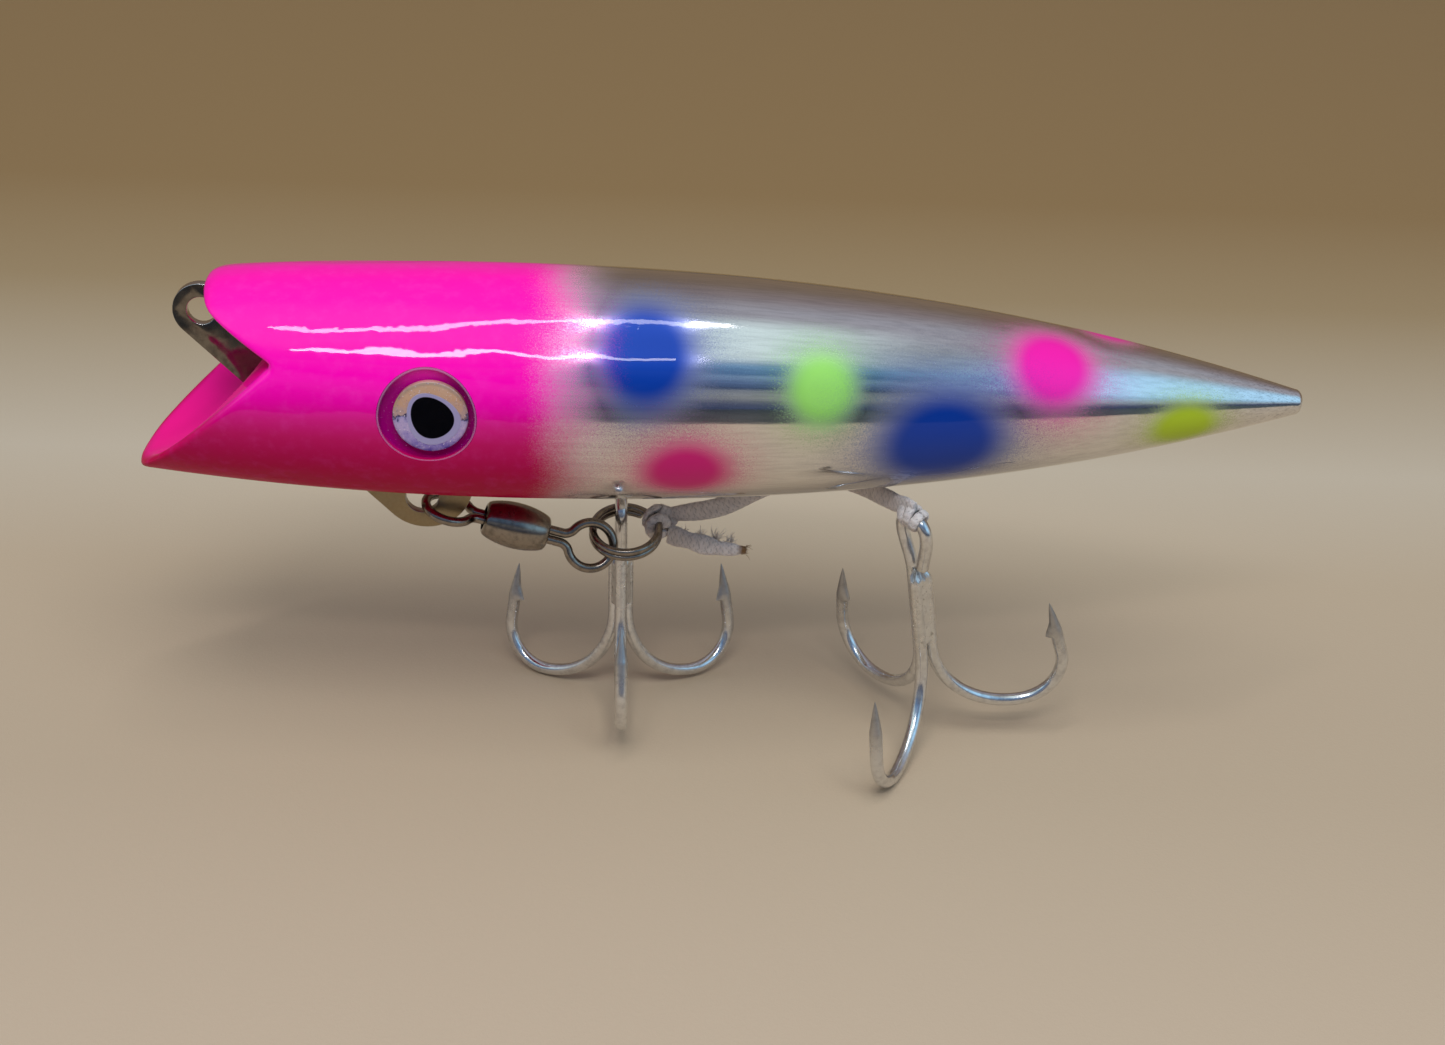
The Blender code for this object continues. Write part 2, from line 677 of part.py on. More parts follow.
def rear_treble_frame():
    """The tail treble's eye centre, its shank direction and the direction of its eye hook."""
    down = Vector(REAR_TREBLE_AXIS).normalized()
    ahead = (Vector((1, 0, 0)) - down * down.x).normalized()
    angle = math.radians(REAR_TREBLE_TURN)
    out = ahead * math.cos(angle) + ahead.cross(down) * math.sin(angle)
    return place(*REAR_TREBLE_EYE), down, out


# ---------------------------------------------------------------- assembly

def main():
    for existing in list(bpy.data.objects):
        bpy.data.objects.remove(existing, do_unlink=True)
    lacquer = material("pink_lacquer", (0.9, 0.03, 0.48), 0.12, 0.0)
    steel = material("stainless_steel", (0.62, 0.6, 0.57), 0.2, 1.0)
    nickel = material("black_nickel", (0.4, 0.38, 0.36), 0.25, 1.0)
    tinned = material("tinned_steel", (0.66, 0.66, 0.66), 0.3, 1.0)
    lead = material("lead", (0.3, 0.3, 0.32), 0.6, 1.0)
    wood = material("plug_wood", (0.72, 0.55, 0.35), 0.7, 0.0)
    foil = material("eye_foil", (0.75, 0.72, 0.8), 0.25, 0.8)
    resin = material("clear_resin", (0.95, 0.9, 0.95), 0.05, 0.0)
    cord = material("white_cord", (0.88, 0.86, 0.84), 0.85, 0.0)

    make_body(lacquer)
    make_plate(steel)
    make_lock_pin(steel)
    make_ballast(lead, wood)
    make_eyes(foil, resin)
    make_swivel(nickel)
    make_split_ring(nickel)
    front_eye = ring_point(FRONT_TREBLE_PLACE, lift=-0.9)
    make_treble("front_treble", front_eye, FRONT_TREBLE_AXIS, FRONT_TREBLE_TURN,
                hook_profile(FRONT_TREBLE_SHANK, FRONT_TREBLE_BENDS), tinned)
    make_treble("rear_treble", place(*REAR_TREBLE_EYE), REAR_TREBLE_AXIS, REAR_TREBLE_TURN,
                hook_profile(REAR_TREBLE_SHANK, REAR_TREBLE_BENDS), tinned)
    make_cord(cord)
    bpy.context.view_layer.update()


main()
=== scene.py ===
"""Looks of the topwater popper: lacquered body, hardware, trebles and cord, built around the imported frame.

Shapes are worked out in millimetres in the row's frame, where a "station" is a distance behind the tip of
the lower lip. The lure's left side faces -Y, which is the side turned to the camera.
"""

import json
import math
import random

import bmesh
import bpy
import numpy as np
from mathutils import Matrix, Vector, noise

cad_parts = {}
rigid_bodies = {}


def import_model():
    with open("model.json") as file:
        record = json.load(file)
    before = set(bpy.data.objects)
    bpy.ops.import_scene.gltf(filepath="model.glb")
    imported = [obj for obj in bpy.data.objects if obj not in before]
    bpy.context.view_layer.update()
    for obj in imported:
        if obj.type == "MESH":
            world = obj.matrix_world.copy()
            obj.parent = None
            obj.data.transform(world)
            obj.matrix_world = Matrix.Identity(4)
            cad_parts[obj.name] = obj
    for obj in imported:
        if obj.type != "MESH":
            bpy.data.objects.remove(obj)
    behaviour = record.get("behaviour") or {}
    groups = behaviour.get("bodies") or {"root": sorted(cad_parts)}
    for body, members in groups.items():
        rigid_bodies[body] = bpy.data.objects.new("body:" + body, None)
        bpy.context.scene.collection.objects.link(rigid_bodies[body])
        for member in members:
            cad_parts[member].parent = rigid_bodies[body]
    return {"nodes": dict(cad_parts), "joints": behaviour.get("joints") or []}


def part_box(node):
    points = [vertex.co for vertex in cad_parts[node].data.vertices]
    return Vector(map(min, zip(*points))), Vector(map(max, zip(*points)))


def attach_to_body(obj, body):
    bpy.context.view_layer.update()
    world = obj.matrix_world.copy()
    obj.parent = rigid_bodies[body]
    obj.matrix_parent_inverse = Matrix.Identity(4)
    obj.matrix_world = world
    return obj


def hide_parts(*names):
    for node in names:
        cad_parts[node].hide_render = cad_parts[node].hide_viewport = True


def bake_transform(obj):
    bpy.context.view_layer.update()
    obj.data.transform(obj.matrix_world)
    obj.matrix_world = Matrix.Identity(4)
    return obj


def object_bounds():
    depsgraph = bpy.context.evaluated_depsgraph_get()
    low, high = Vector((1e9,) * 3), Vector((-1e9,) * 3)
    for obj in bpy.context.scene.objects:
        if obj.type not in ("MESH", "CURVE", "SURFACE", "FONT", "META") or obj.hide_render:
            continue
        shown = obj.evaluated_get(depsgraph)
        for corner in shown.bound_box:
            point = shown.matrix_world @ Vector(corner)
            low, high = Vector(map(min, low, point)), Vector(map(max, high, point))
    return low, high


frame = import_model()
cad_low, cad_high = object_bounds()

MM = 0.001
NOSE = 77.0  # station of the row's origin
PIVOTS = {j["name"]: np.array(j["pos_m"]) / MM for j in frame["joints"]}
AXES = {j["name"]: np.array(j["axis"]) for j in frame["joints"]}
UP = (0.0, 0.0, 1.0)

# Body
LENGTH = 180.0
FULL_RADIUS = 17.95
WIDEST = 57.0
NOSE_RADIUS = 14.3
TAIL_TAPER = 0.905
TAIL_POWER = 2.22
TAIL_ROUND = 1.2
MOUTH_CORNER = (23.0, 7.3)  # station, height
LOWER_CUT = math.radians(42.4)
UPPER_CUT = math.radians(30.5)
LIP_FRONT = 11.7
RIM_ROUND = 1.15
BROW = 0.45  # extra height over the upper lip
SCOOP_RADIUS = 13.0
SCOOP_DEPTH = 4.0
SCOOP_SOFTNESS = 0.22
BALLAST_STATIONS = (86.0, 106.0)
BALLAST_BORE = 5.3

# Eyes
EYE = (45.4, 1.1)  # station, height
SOCKET_RADIUS = 7.3
SOCKET_FLOOR = 15.0
DISC_CENTRE = (45.85, 0.75)
DISC_RADIUS = 5.5
PUPIL_CENTRE = (45.95, 0.7)
PUPIL_SIZE = (3.35, 2.95)
PUPIL_LEAN = math.radians(124)

# Spine plate
PLATE_ANGLE = math.radians(-44.4)
PLATE_HALF = 4.25
PLATE_SIDE = 0.8  # half the plate's thickness
LINE_TIE = (10.8, 10.15)
LINE_TIE_HOLE = 2.15
HANGER_DISTANCE = 43.0
HANGER_RADIUS = 7.3
HANGER_HOLE = (43.1, -19.9)
HANGER_HOLE_RADIUS = 2.6
PIN_DISTANCE = 22.0
PIN_HOLE = 1.3

# Swivel and split ring
LOOP_RADIUS = 3.7
LOOP_WIRE = 0.76
LOOP_FILLET = 2.0
LEG_SPREAD = 0.78
BARREL_START = 9.5
BARREL_LENGTH = 10.4
BARREL_BORE = 1.95
BARREL_END = 2.42
BARREL_SWELL = 1.25
RING_RADIUS = 5.3
RING_TILT = math.radians(20.0)
RING_WIRE = 0.615
RING_TURNS = 1.93
RING_PITCH = 1.2
RING_START = 60.0

# Trebles
HOOK_WIRE = 1.02
HOOK_OFFSET = 1.2
HOOK_EYE_RADIUS = 2.9
HOOK_EYE_NECK = 7.8
POINT_LENGTH = 10.4
POINT_TURN = math.radians(99)
FRONT_TREBLE = {"place": 98.0, "lift": -0.9, "down": (0.021, -0.137, -0.99), "turn": -90.0, "shank": 17.3,
                "bends": (13.4, 6.8)}
REAR_TREBLE = {"down": (0.174, 0.127, -0.976), "turn": 123.0, "shank": 22.5, "bends": (13.9, 7.2)}

# Cord
HITCH_PLACE = 23.0
CORD_THICKNESS = 0.42
STRAND_SWELL = 0.16
STRANDS = 7


def at(station, side, height):
    """A point in the row's frame, in millimetres."""
    return np.array([station - NOSE, side, height], float)


def unit(v):
    """The vector at length one."""
    v = np.asarray(v, float)
    return v / np.linalg.norm(v)


def smooth(value, low, high):
    """Rises softly from 0 at low to 1 at high."""
    t = np.clip((value - low) / (high - low), 0, 1)
    return t * t * (3 - 2 * t)


def distances(points):
    """How far along the line each point lies."""
    return np.concatenate([[0], np.cumsum(np.linalg.norm(np.diff(points, axis=0), axis=1))])


# ---------------------------------------------------------------- node materials

class Shader:
    """A small helper that writes a node material. Sockets and plain numbers can be mixed freely."""

    def __init__(self, name, tree=None):
        if tree is None:
            self.material = bpy.data.materials.new(name)
            self.material.use_nodes = True
            tree = self.material.node_tree
        self.tree = tree
        self.surface = tree.nodes.get("Principled BSDF")
        self.coords = None

    def node(self, kind, settings=None, **inputs):
        """Adds a node. An input is given by its name, or as i0, i1 and so on by its number."""
        made = self.tree.nodes.new(kind)
        for key, value in (settings or {}).items():
            setattr(made, key, value)
        for key, value in inputs.items():
            numbered = key[0] == "i" and key[1:].isdigit()
            self.feed(made.inputs[int(key[1:]) if numbered else key], value)
        return made

    def feed(self, socket, value):
        """Links a socket, or sets a plain value."""
        if isinstance(value, bpy.types.NodeSocket):
            self.tree.links.new(value, socket)
        elif socket.type == "RGBA" and len(value) == 3:
            socket.default_value = (*value, 1.0)
        else:
            socket.default_value = value

    def math(self, operation, a, b=0.0):
        return self.node("ShaderNodeMath", {"operation": operation}, i0=a, i1=b).outputs[0]

    def add(self, a, b):
        return self.math("ADD", a, b)

    def sub(self, a, b):
        return self.math("SUBTRACT", a, b)

    def mul(self, a, b):
        return self.math("MULTIPLY", a, b)

    def over(self, a, b):
        return self.math("DIVIDE", a, b)

    def most(self, a, b):
        return self.math("MAXIMUM", a, b)

    def vector(self, operation, a, b, output=0):
        return self.node("ShaderNodeVectorMath", {"operation": operation}, i0=a, i1=b).outputs[output]

    def step(self, value, low, high):
        """Smoothly 0 below low and 1 above high; with low above high it falls instead."""
        if low > high:
            return self.sub(1.0, self.step(value, high, low))
        made = self.node("ShaderNodeMapRange", {"interpolation_type": "SMOOTHSTEP"}, Value=value)
        made.inputs["From Min"].default_value = low
        made.inputs["From Max"].default_value = high
        return made.outputs[0]

    def mix(self, share, a, b):
        """Goes from colour a to colour b."""
        made = self.node("ShaderNodeMix", {"data_type": "RGBA"})
        self.feed(made.inputs[0], share)
        self.feed(made.inputs[6], a)
        self.feed(made.inputs[7], b)
        return made.outputs[2]

    def blend(self, share, a, b):
        """Goes from number a to number b."""
        made = self.node("ShaderNodeMix", {"data_type": "FLOAT"})
        self.feed(made.inputs[0], share)
        self.feed(made.inputs[2], a)
        self.feed(made.inputs[3], b)
        return made.outputs[0]

    def ramp(self, value, stops):
        made = self.node("ShaderNodeValToRGB", None, Fac=value)
        elements = made.color_ramp.elements
        while len(elements) < len(stops):
            elements.new(0.5)
        for element, (place, colour) in zip(elements, stops):
            element.position = place
            element.color = (*colour, 1.0)
        return made.outputs[0]

    def place(self):
        """The row-frame position at rest, in millimetres."""
        if self.coords is None:
            source = self.node("ShaderNodeTexCoord").outputs["Object"]
            scaled = self.node("ShaderNodeVectorMath", {"operation": "SCALE"}, i0=source, Scale=1 / MM)
            self.coords = scaled.outputs[0]
        return self.coords

    def axes(self, vector=None):
        """The three parts of a vector, or of the place."""
        parts = self.node("ShaderNodeSeparateXYZ", None, i0=vector or self.place())
        return parts.outputs[0], parts.outputs[1], parts.outputs[2]

    def stretched(self, scale):
        made = self.node("ShaderNodeMapping", None, Vector=self.place())
        made.inputs["Scale"].default_value = scale
        return made.outputs[0]

    def noise(self, scale, detail=2.0, roughness=0.5, vector=None, distortion=0.0):
        made = self.node("ShaderNodeTexNoise", None, Vector=vector or self.place(), Scale=scale,
                         Detail=detail, Roughness=roughness, Distortion=distortion)
        return made.outputs[0]

    def centred(self, value, scale):
        """A noise value moved to swing about zero."""
        return self.mul(self.sub(value, 0.5), scale)

    def attribute(self, name):
        return self.node("ShaderNodeAttribute", {"attribute_name": name}).outputs["Fac"]

    def current(self, name):
        """What already feeds the surface's input."""
        return self.surface.inputs[name].links[0].from_socket

    def bump(self, height, strength, distance):
        made = self.node("ShaderNodeBump", None, Height=height, Strength=strength, Distance=distance)
        return made.outputs[0]

    def set(self, **values):
        """Feeds the surface's inputs; an underscore stands for a space."""
        for key, value in values.items():
            self.feed(self.surface.inputs[key.replace("_", " ")], value)


# ---------------------------------------------------------------- paint and foil of the body

FOIL = (0.80, 0.79, 0.775)
BLUE = (0.0, 0.04, 0.33)
CHARTREUSE = (0.36, 0.76, 0.14)
SPOT_PINK = (1.0, 0.006, 0.40)
# Each airbrushed spot: station, angle up from the left side in degrees, half length, half height, colour
SPOTS = [
    (76.8, 37.0, 10.2, 12.0, BLUE),
    (103.0, 22.3, 7.0, 7.2, CHARTREUSE),
    (138.2, 45.0, 9.2, 9.2, SPOT_PINK),
    (121.6, -10.5, 13.8, 11.6, BLUE),
    (83.3, -25.0, 9.0, 7.8, (0.72, 0.004, 0.20)),
    (160.0, -14.0, 7.8, 5.2, (0.46, 0.60, 0.02)),
    (148.4, 108.0, 6.4, 5.0, SPOT_PINK),
    (80.0, 150.0, 7.2, 8.2, BLUE),
    (106.0, 162.0, 6.4, 6.4, CHARTREUSE),
    (128.0, 188.0, 9.0, 7.2, BLUE),
    (91.0, 200.0, 7.4, 6.4, SPOT_PINK),
    (141.0, 152.0, 6.8, 6.4, SPOT_PINK),
    (163.0, 186.0, 6.6, 4.4, CHARTREUSE),
]
# The nose's pink, from the belly up to the back: darker and redder towards the belly as painted shade
HEAD_PINKS_PAINTED_SHADE = [(0.0, (0.48, 0.0, 0.045)), (0.25, (0.54, 0.0, 0.07)), (0.42, (0.60, 0.0, 0.12)),
              (0.5, (0.69, 0.0, 0.20)), (0.58, (0.87, 0.0, 0.34)), (0.67, (1.0, 0.0, 0.42)),
              (1.0, (1.0, 0.0, 0.38))]
# The mouth's pink, from the lower lip up
CUP_PINKS = [(0.0, (0.80, 0.01, 0.20)), (0.35, (0.95, 0.006, 0.30)), (0.75, (0.80, 0.0, 0.22)),
             (1.0, (0.9, 0.0, 0.4))]


def radius_at(s):
    """The body's radius at a station."""
    s = np.asarray(s, float)
    front = FULL_RADIUS - (FULL_RADIUS - NOSE_RADIUS) * ((WIDEST - s) / WIDEST) ** 2
    share = np.clip((s - WIDEST) / (LENGTH - WIDEST), 0, 1)
    rear = FULL_RADIUS * (1 - TAIL_TAPER * share ** TAIL_POWER)
    return np.where(s <= WIDEST, front, rear)


def skin_radius(s, theta):
    """The skin's distance from the axis; theta is the angle up from either side."""
    brow = BROW * smooth(np.sin(theta), 0.2, 0.95) * (1 - smooth(np.asarray(s, float), 16.0, 44.0))
    return radius_at(s) + brow


def on_body(station, degrees):
    """A point on the body's skin; 0 degrees is the left side, 90 the back."""
    r = float(radius_at(station))
    turn = math.radians(degrees)
    return at(station, -r * math.cos(turn), r * math.sin(turn))


def foil_colour(m, station, grain, streak):
    """Silver foil with drawn streaks and bright specks, scuffed towards the tail."""
    foil = m.mix(m.step(streak, 0.35, 0.75), FOIL, (0.66, 0.65, 0.64))
    foil = m.mix(m.mul(m.step(grain, 0.60, 0.78), 0.45), foil, (0.95, 0.95, 0.97))
    tail = m.step(station, 150.0, 178.0)
    scratches = m.noise(1.0, 2.0, 0.7, m.stretched((0.12, 6.0, 6.0)))
    return m.mix(m.mul(tail, m.step(scratches, 0.5, 0.7)), foil, (0.45, 0.44, 0.43))


def airbrush(m, colour, speckle):
    """Lays the spots on a colour. Also returns how much of the foil they hide."""
    cover = 0.0
    for station, degrees, half_long, half_high, paint in SPOTS:
        away = m.vector("SUBTRACT", m.place(), tuple(on_body(station, degrees)))
        scaled = m.vector("MULTIPLY", away, (1 / half_long, 1 / half_high, 1 / half_high))
        reach = m.vector("LENGTH", scaled, (0, 0, 0), "Value")
        noisy = m.add(reach, m.mul(speckle, m.mul(m.step(reach, 0.60, 1.20), 0.50)))
        halo = m.mul(m.step(noisy, 1.65, 0.8), 0.25)
        colour = m.mix(m.most(m.step(noisy, 1.30, 0.42), halo), colour, paint)
        cover = m.most(cover, m.mul(m.step(noisy, 1.15, 0.30), 0.74))
    return colour, cover


def inside_paint(m, station, y, z):
    """The paint in the mouth, with a dusty streak down the near side of the cup, and in the eye sockets."""
    cup = m.ramp(m.add(m.over(z, 30.0), 0.5), CUP_PINKS)
    lines = m.noise(1.0, 3.0, 0.6, m.stretched((0.2, 1.6, 0.2)))
    side = m.mul(m.step(y, -11.5, -8.0), m.step(y, -1.5, -5.5))
    height = m.mul(m.step(z, -12.0, -6.5), m.step(z, 7.0, 2.0))
    dust = m.mul(m.mul(side, height), m.step(lines, 0.25, 0.7))
    cup = m.mix(m.mul(dust, 0.75), cup, (0.62, 0.30, 0.25))
    flecks = m.noise(2.6, 3.0, 0.65)
    socket = m.mix(m.step(flecks, 0.62, 0.72), (0.40, 0.0, 0.20), (0.62, 0.30, 0.62))
    return m.mix(m.step(station, 26.0, 30.0), cup, socket)


def head_pink_painted_shade(m, z):
    """The outside pink, darker under the belly as painted shade, and faintly mottled."""
    pink = m.ramp(m.add(m.over(z, 35.6), 0.5), HEAD_PINKS_PAINTED_SHADE)
    mottled = m.noise(0.5, 4.0, 0.6)
    return m.mix(m.mul(m.step(mottled, 0.45, 0.75), 0.08), pink, (1.0, 0.10, 0.62))


def below_skin(m, station, y, z):
    """1 where the surface lies inside the turned outline of the head: in the mouth and the eye sockets."""
    radial = m.math("SQRT", m.add(m.mul(y, y), m.mul(z, z)))
    forward = m.sub(1.0, m.over(station, WIDEST))
    skin = m.sub(FULL_RADIUS, m.mul(m.mul(forward, forward), FULL_RADIUS - NOSE_RADIUS))
    return m.step(m.sub(skin, radial), 0.8, 2.2)


def clear_coat(m, shaded):
    """A thick and slightly wavy clear coat, duller where shaded is 1."""
    ripple = m.noise(1.0, 1.0, 0.4, m.stretched((0.055, 0.17, 0.17)))
    orange_peel = m.noise(0.55, 1.0, 0.5)
    m.set(Coat_Weight=m.blend(shaded, 1.0, 0.3), Coat_IOR=1.41,
          Coat_Roughness=m.add(0.015, m.mul(m.noise(0.35, 3.0), 0.03)),
          Coat_Normal=m.bump(m.add(ripple, m.mul(orange_peel, 0.05)), 0.30, 0.0012))


def lacquer():
    """Pink nose fading into mirror foil, airbrushed spots, all under a clear coat."""
    m = Shader("lacquer")
    x, y, z = m.axes()
    station = m.add(x, NOSE)
    grain = m.noise(4.5, 2.0, 0.7)
    speckle = m.add(m.centred(grain, 2.2), m.centred(m.noise(9.0, 1.0, 0.6), 1.2))
    streak = m.noise(1.0, 3.0, 0.6, m.stretched((0.05, 2.2, 2.2)))
    colour, spotted = airbrush(m, foil_colour(m, station, grain, streak), speckle)

    wander = m.centred(m.noise(0.09, 2.0), 5.0)
    head = m.step(m.add(m.add(station, m.mul(speckle, 3.4)), wander), 74.0, 59.5)
    sunk = below_skin(m, station, y, z)
    pink = m.mix(sunk, head_pink_painted_shade(m, z), inside_paint(m, station, y, z))
    colour = m.mix(head, colour, pink)
    cover = m.most(spotted, head)

    m.set(Base_Color=colour, Metallic=m.blend(cover, 1.0, 0.0),
          Roughness=m.blend(cover, m.add(0.05, m.mul(m.step(grain, 0.55, 0.8), 0.08)), 0.5),
          Specular_IOR_Level=m.blend(cover, 0.5, 0.0),
          Normal=m.bump(m.add(m.mul(grain, 0.3), streak), 0.02, 0.0002))
    shaded = m.mul(cover, m.most(m.mul(sunk, head), m.step(z, 3.0, -7.0)))
    clear_coat(m, m.most(shaded, m.mul(spotted, 0.7)))
    return m.material


# ---------------------------------------------------------------- other finishes

def metal(name, colour, dark, roughness, scratch, wear=0.0):
    """Plated wire or plate: faint mottling, drawn lines and a little dirt in the hollows of the finish."""
    m = Shader(name)
    mottled = m.noise(0.9, 4.0, 0.65)
    lines = m.noise(1.0, 2.0, 0.6, m.stretched(scratch))
    pits = m.noise(6.0, 2.0, 0.6)
    tone = m.mix(m.step(mottled, 0.40, 0.72), colour, dark)
    tone = m.mix(m.mul(m.step(pits, 0.66, 0.76), 0.35 + wear), tone, tuple(0.45 * c for c in dark))
    m.set(Base_Color=tone, Metallic=1.0,
          Roughness=m.add(roughness, m.mul(m.sub(m.add(lines, mottled), 1.0), 0.22)),
          Normal=m.bump(m.add(lines, m.mul(pits, 0.5)), 0.16, 0.00008))
    return m


def dark_nickel():
    """The swivel and the split ring."""
    return metal("dark_nickel", (0.31, 0.27, 0.23), (0.19, 0.165, 0.14), 0.22, (0.7, 0.7, 0.7), 0.1).material


def pin_steel():
    return metal("pin_steel", (0.6, 0.6, 0.6), (0.45, 0.45, 0.45), 0.3, (0.6, 0.6, 0.6)).material


def lead():
    return metal("lead", (0.30, 0.30, 0.32), (0.20, 0.20, 0.22), 0.55, (0.8, 0.8, 0.8), 0.3).material


def plain_wood():
    """The bare plugs under the lacquer."""
    m = Shader("bare_wood")
    grain = m.noise(1.0, 5.0, 0.6, m.stretched((0.25, 2.4, 2.4)), 0.8)
    m.set(Base_Color=m.mix(grain, (0.52, 0.34, 0.17), (0.74, 0.55, 0.33)), Roughness=0.7,
          Normal=m.bump(grain, 0.3, 0.0002))
    return m.material


def plate_steel():
    """Steel bar: flats painted a dark olive-grey as painted shade, rounded edges painted pale as painted
    highlights, and the tab under the belly painted olive-brown as a painted reflection of the tabletop in
    shade.
    """
    m = metal("plate_steel", (0.22, 0.195, 0.165), (0.15, 0.13, 0.11), 0.20, (0.9, 3.0, 0.9))
    normal = m.node("ShaderNodeNewGeometry").outputs["True Normal"]
    # Flats are picked by their facing and keep the dark olive-grey of painted shade; the rounded edges get a
    # pale colour below as a painted highlight.
    flat = m.step(m.math("ABSOLUTE", m.axes(normal)[1]), 0.80, 0.995)
    belly = m.step(m.axes()[2], -9.0, -16.0)
    matt = m.noise(1.6, 4.0, 0.7)
    # The belly tab's olive-brown is a painted reflection of the tan tabletop in shade.
    olive_painted_reflection = m.mix(matt, (0.26, 0.19, 0.10), (0.42, 0.34, 0.21))
    colour = m.mix(flat, (0.58, 0.56, 0.53), m.current("Base Color"))
    m.set(Base_Color=m.mix(m.mul(belly, m.add(0.3, m.mul(flat, 0.6))), colour, olive_painted_reflection),
          Roughness=m.blend(belly, m.current("Roughness"), m.add(0.30, m.mul(matt, 0.2))),
          Normal=m.bump(m.noise(0.12, 2.0, 0.5), 0.6, 0.0012))
    return m.material


def hook_steel():
    """Tinned wire. "along" is the distance to the point, and "brazed" marks the soldered shank."""
    m = metal("tinned_steel", (0.74, 0.745, 0.75), (0.56, 0.56, 0.57), 0.20, (1.2, 1.2, 0.25), 0.1)
    point = m.step(m.attribute("along"), 11.5, 3.0)
    brazed = m.attribute("brazed")
    dirt = m.noise(1.3, 4.0, 0.7)
    colour = m.mix(m.mul(point, 0.55), m.current("Base Color"), (0.22, 0.205, 0.20))
    spots = m.mul(brazed, m.step(dirt, 0.56, 0.66))
    colour = m.mix(m.mul(spots, 0.8), colour, (0.10, 0.095, 0.09))
    colour = m.mix(m.mul(brazed, 0.35), colour, (0.80, 0.77, 0.70))
    rougher = m.add(m.mul(brazed, 0.16), m.mul(point, 0.22))
    m.set(Base_Color=colour, Roughness=m.add(m.current("Roughness"), rougher))
    return m.material


def braid():
    """Pale braided fibre with painted shade in the valleys between strands; "along" is the distance to the
    singed end, "relief" how proud a strand stands.
    """
    m = Shader("braid")
    fibre = m.noise(7.0, 3.0, 0.7)
    soft = m.noise(0.8, 3.0, 0.6)
    colour = m.mix(m.step(soft, 0.35, 0.7), (0.68, 0.595, 0.55), (0.55, 0.475, 0.44))
    # Where a strand sinks low between its neighbours the colour turns dark as painted shade.
    colour = m.mix(m.mul(m.step(m.attribute("relief"), 0.55, 0.05), 0.75), colour, (0.20, 0.17, 0.17))
    colour = m.mix(m.mul(fibre, 0.3), colour, (0.72, 0.69, 0.70))
    burnt = m.step(m.add(m.attribute("along"), m.centred(soft, 1.6)), 1.5, 0.5)
    colour = m.mix(burnt, colour, (0.16, 0.075, 0.018))
    m.set(Base_Color=colour, Roughness=m.blend(burnt, 0.8, 0.3), Sheen_Weight=0.35, Sheen_Roughness=0.5,
          Subsurface_Weight=0.15, Subsurface_Scale=0.0008, Subsurface_Radius=(1.0, 0.8, 0.9),
          Normal=m.bump(fibre, 0.5, 0.0001))
    return m.material


# The eye foil's colours from its lower edge up
EYE_FOIL_TONES = [(0.0, (0.10, 0.06, 0.42)), (0.22, (0.42, 0.36, 0.72)), (0.36, (0.60, 0.52, 0.80)),
                  (0.46, (0.42, 0.40, 0.72)), (0.51, (0.008, 0.015, 0.12)), (0.57, (0.58, 0.44, 0.42)),
                  (0.72, (0.72, 0.47, 0.30)), (1.0, (0.80, 0.58, 0.40))]


def eye_foil(name):
    """Holographic foil with a printed egg-shaped pupil whose narrow end points up and forward."""
    m = Shader(name)
    x, _, z = m.axes()
    u = m.sub(x, PUPIL_CENTRE[0] - NOSE)
    v = m.sub(z, PUPIL_CENTRE[1])
    crackle = m.noise(0.9, 4.0, 0.65, None, 0.6)
    bands = m.add(m.mul(v, 0.085), m.add(0.5, m.centred(crackle, 0.55)))
    foil = m.ramp(bands, EYE_FOIL_TONES)
    foil = m.mix(m.step(m.noise(3.2, 2.0, 0.6), 0.64, 0.70), foil, (0.90, 0.86, 0.95))
    foil = m.mix(m.mul(m.step(m.noise(2.1, 3.0, 0.7), 0.62, 0.68), 0.7), foil, (0.08, 0.03, 0.50))
    along = m.add(m.mul(u, math.cos(PUPIL_LEAN)), m.mul(v, math.sin(PUPIL_LEAN)))
    across = m.add(m.mul(u, -math.sin(PUPIL_LEAN)), m.mul(v, math.cos(PUPIL_LEAN)))
    across = m.mul(across, m.add(1.0, m.mul(along, 0.05)))
    long_share = m.math("POWER", m.over(along, PUPIL_SIZE[0]), 2.0)
    wide_share = m.math("POWER", m.over(across, PUPIL_SIZE[1]), 2.0)
    reach = m.math("SQRT", m.add(long_share, wide_share))
    border = m.step(m.add(reach, m.mul(along, 0.012)), 1.27, 1.23)
    pupil = m.step(reach, 1.03, 1.00)
    colour = m.mix(pupil, m.mix(border, foil, (0.36, 0.33, 0.50)), (0.003, 0.003, 0.004))
    m.set(Base_Color=colour, Metallic=m.blend(border, 0.55, 0.0), Roughness=m.blend(border, 0.24, 0.35),
          Specular_IOR_Level=m.blend(pupil, 0.5, 0.0), Normal=m.bump(m.add(crackle, border), 0.25, 0.0002))
    return m.material


def eye_resin():
    """Clear resin over the eye: see-through face on, mirror-like at a slant, with a pale rim."""
    m = Shader("eye_resin")
    normal = m.bump(m.noise(0.25, 1.0, 0.4), 0.15, 0.0006)
    rim = m.attribute("rim")
    m.set(Base_Color=m.mix(rim, (0.93, 0.80, 0.95), (0.80, 0.28, 0.62)), Metallic=m.blend(rim, 0.9, 0.0),
          Roughness=m.add(0.04, m.mul(rim, 0.2)), Normal=normal)
    slant = m.node("ShaderNodeFresnel", None, IOR=1.34, Normal=normal).outputs[0]
    outward = m.sub(1.0, m.node("ShaderNodeNewGeometry").outputs["Backfacing"])
    face = m.mul(m.attribute("face"), outward)
    share = m.most(m.mul(slant, face), m.mul(rim, 0.35))
    clear = m.node("ShaderNodeBsdfTransparent", None, Color=(1.0, 0.985, 1.0)).outputs[0]
    mixed = m.node("ShaderNodeMixShader", None, Fac=share, i1=clear, i2=m.surface.outputs[0]).outputs[0]
    m.feed(m.tree.nodes["Material Output"].inputs["Surface"], mixed)
    return m.material


# ---------------------------------------------------------------- mesh helpers

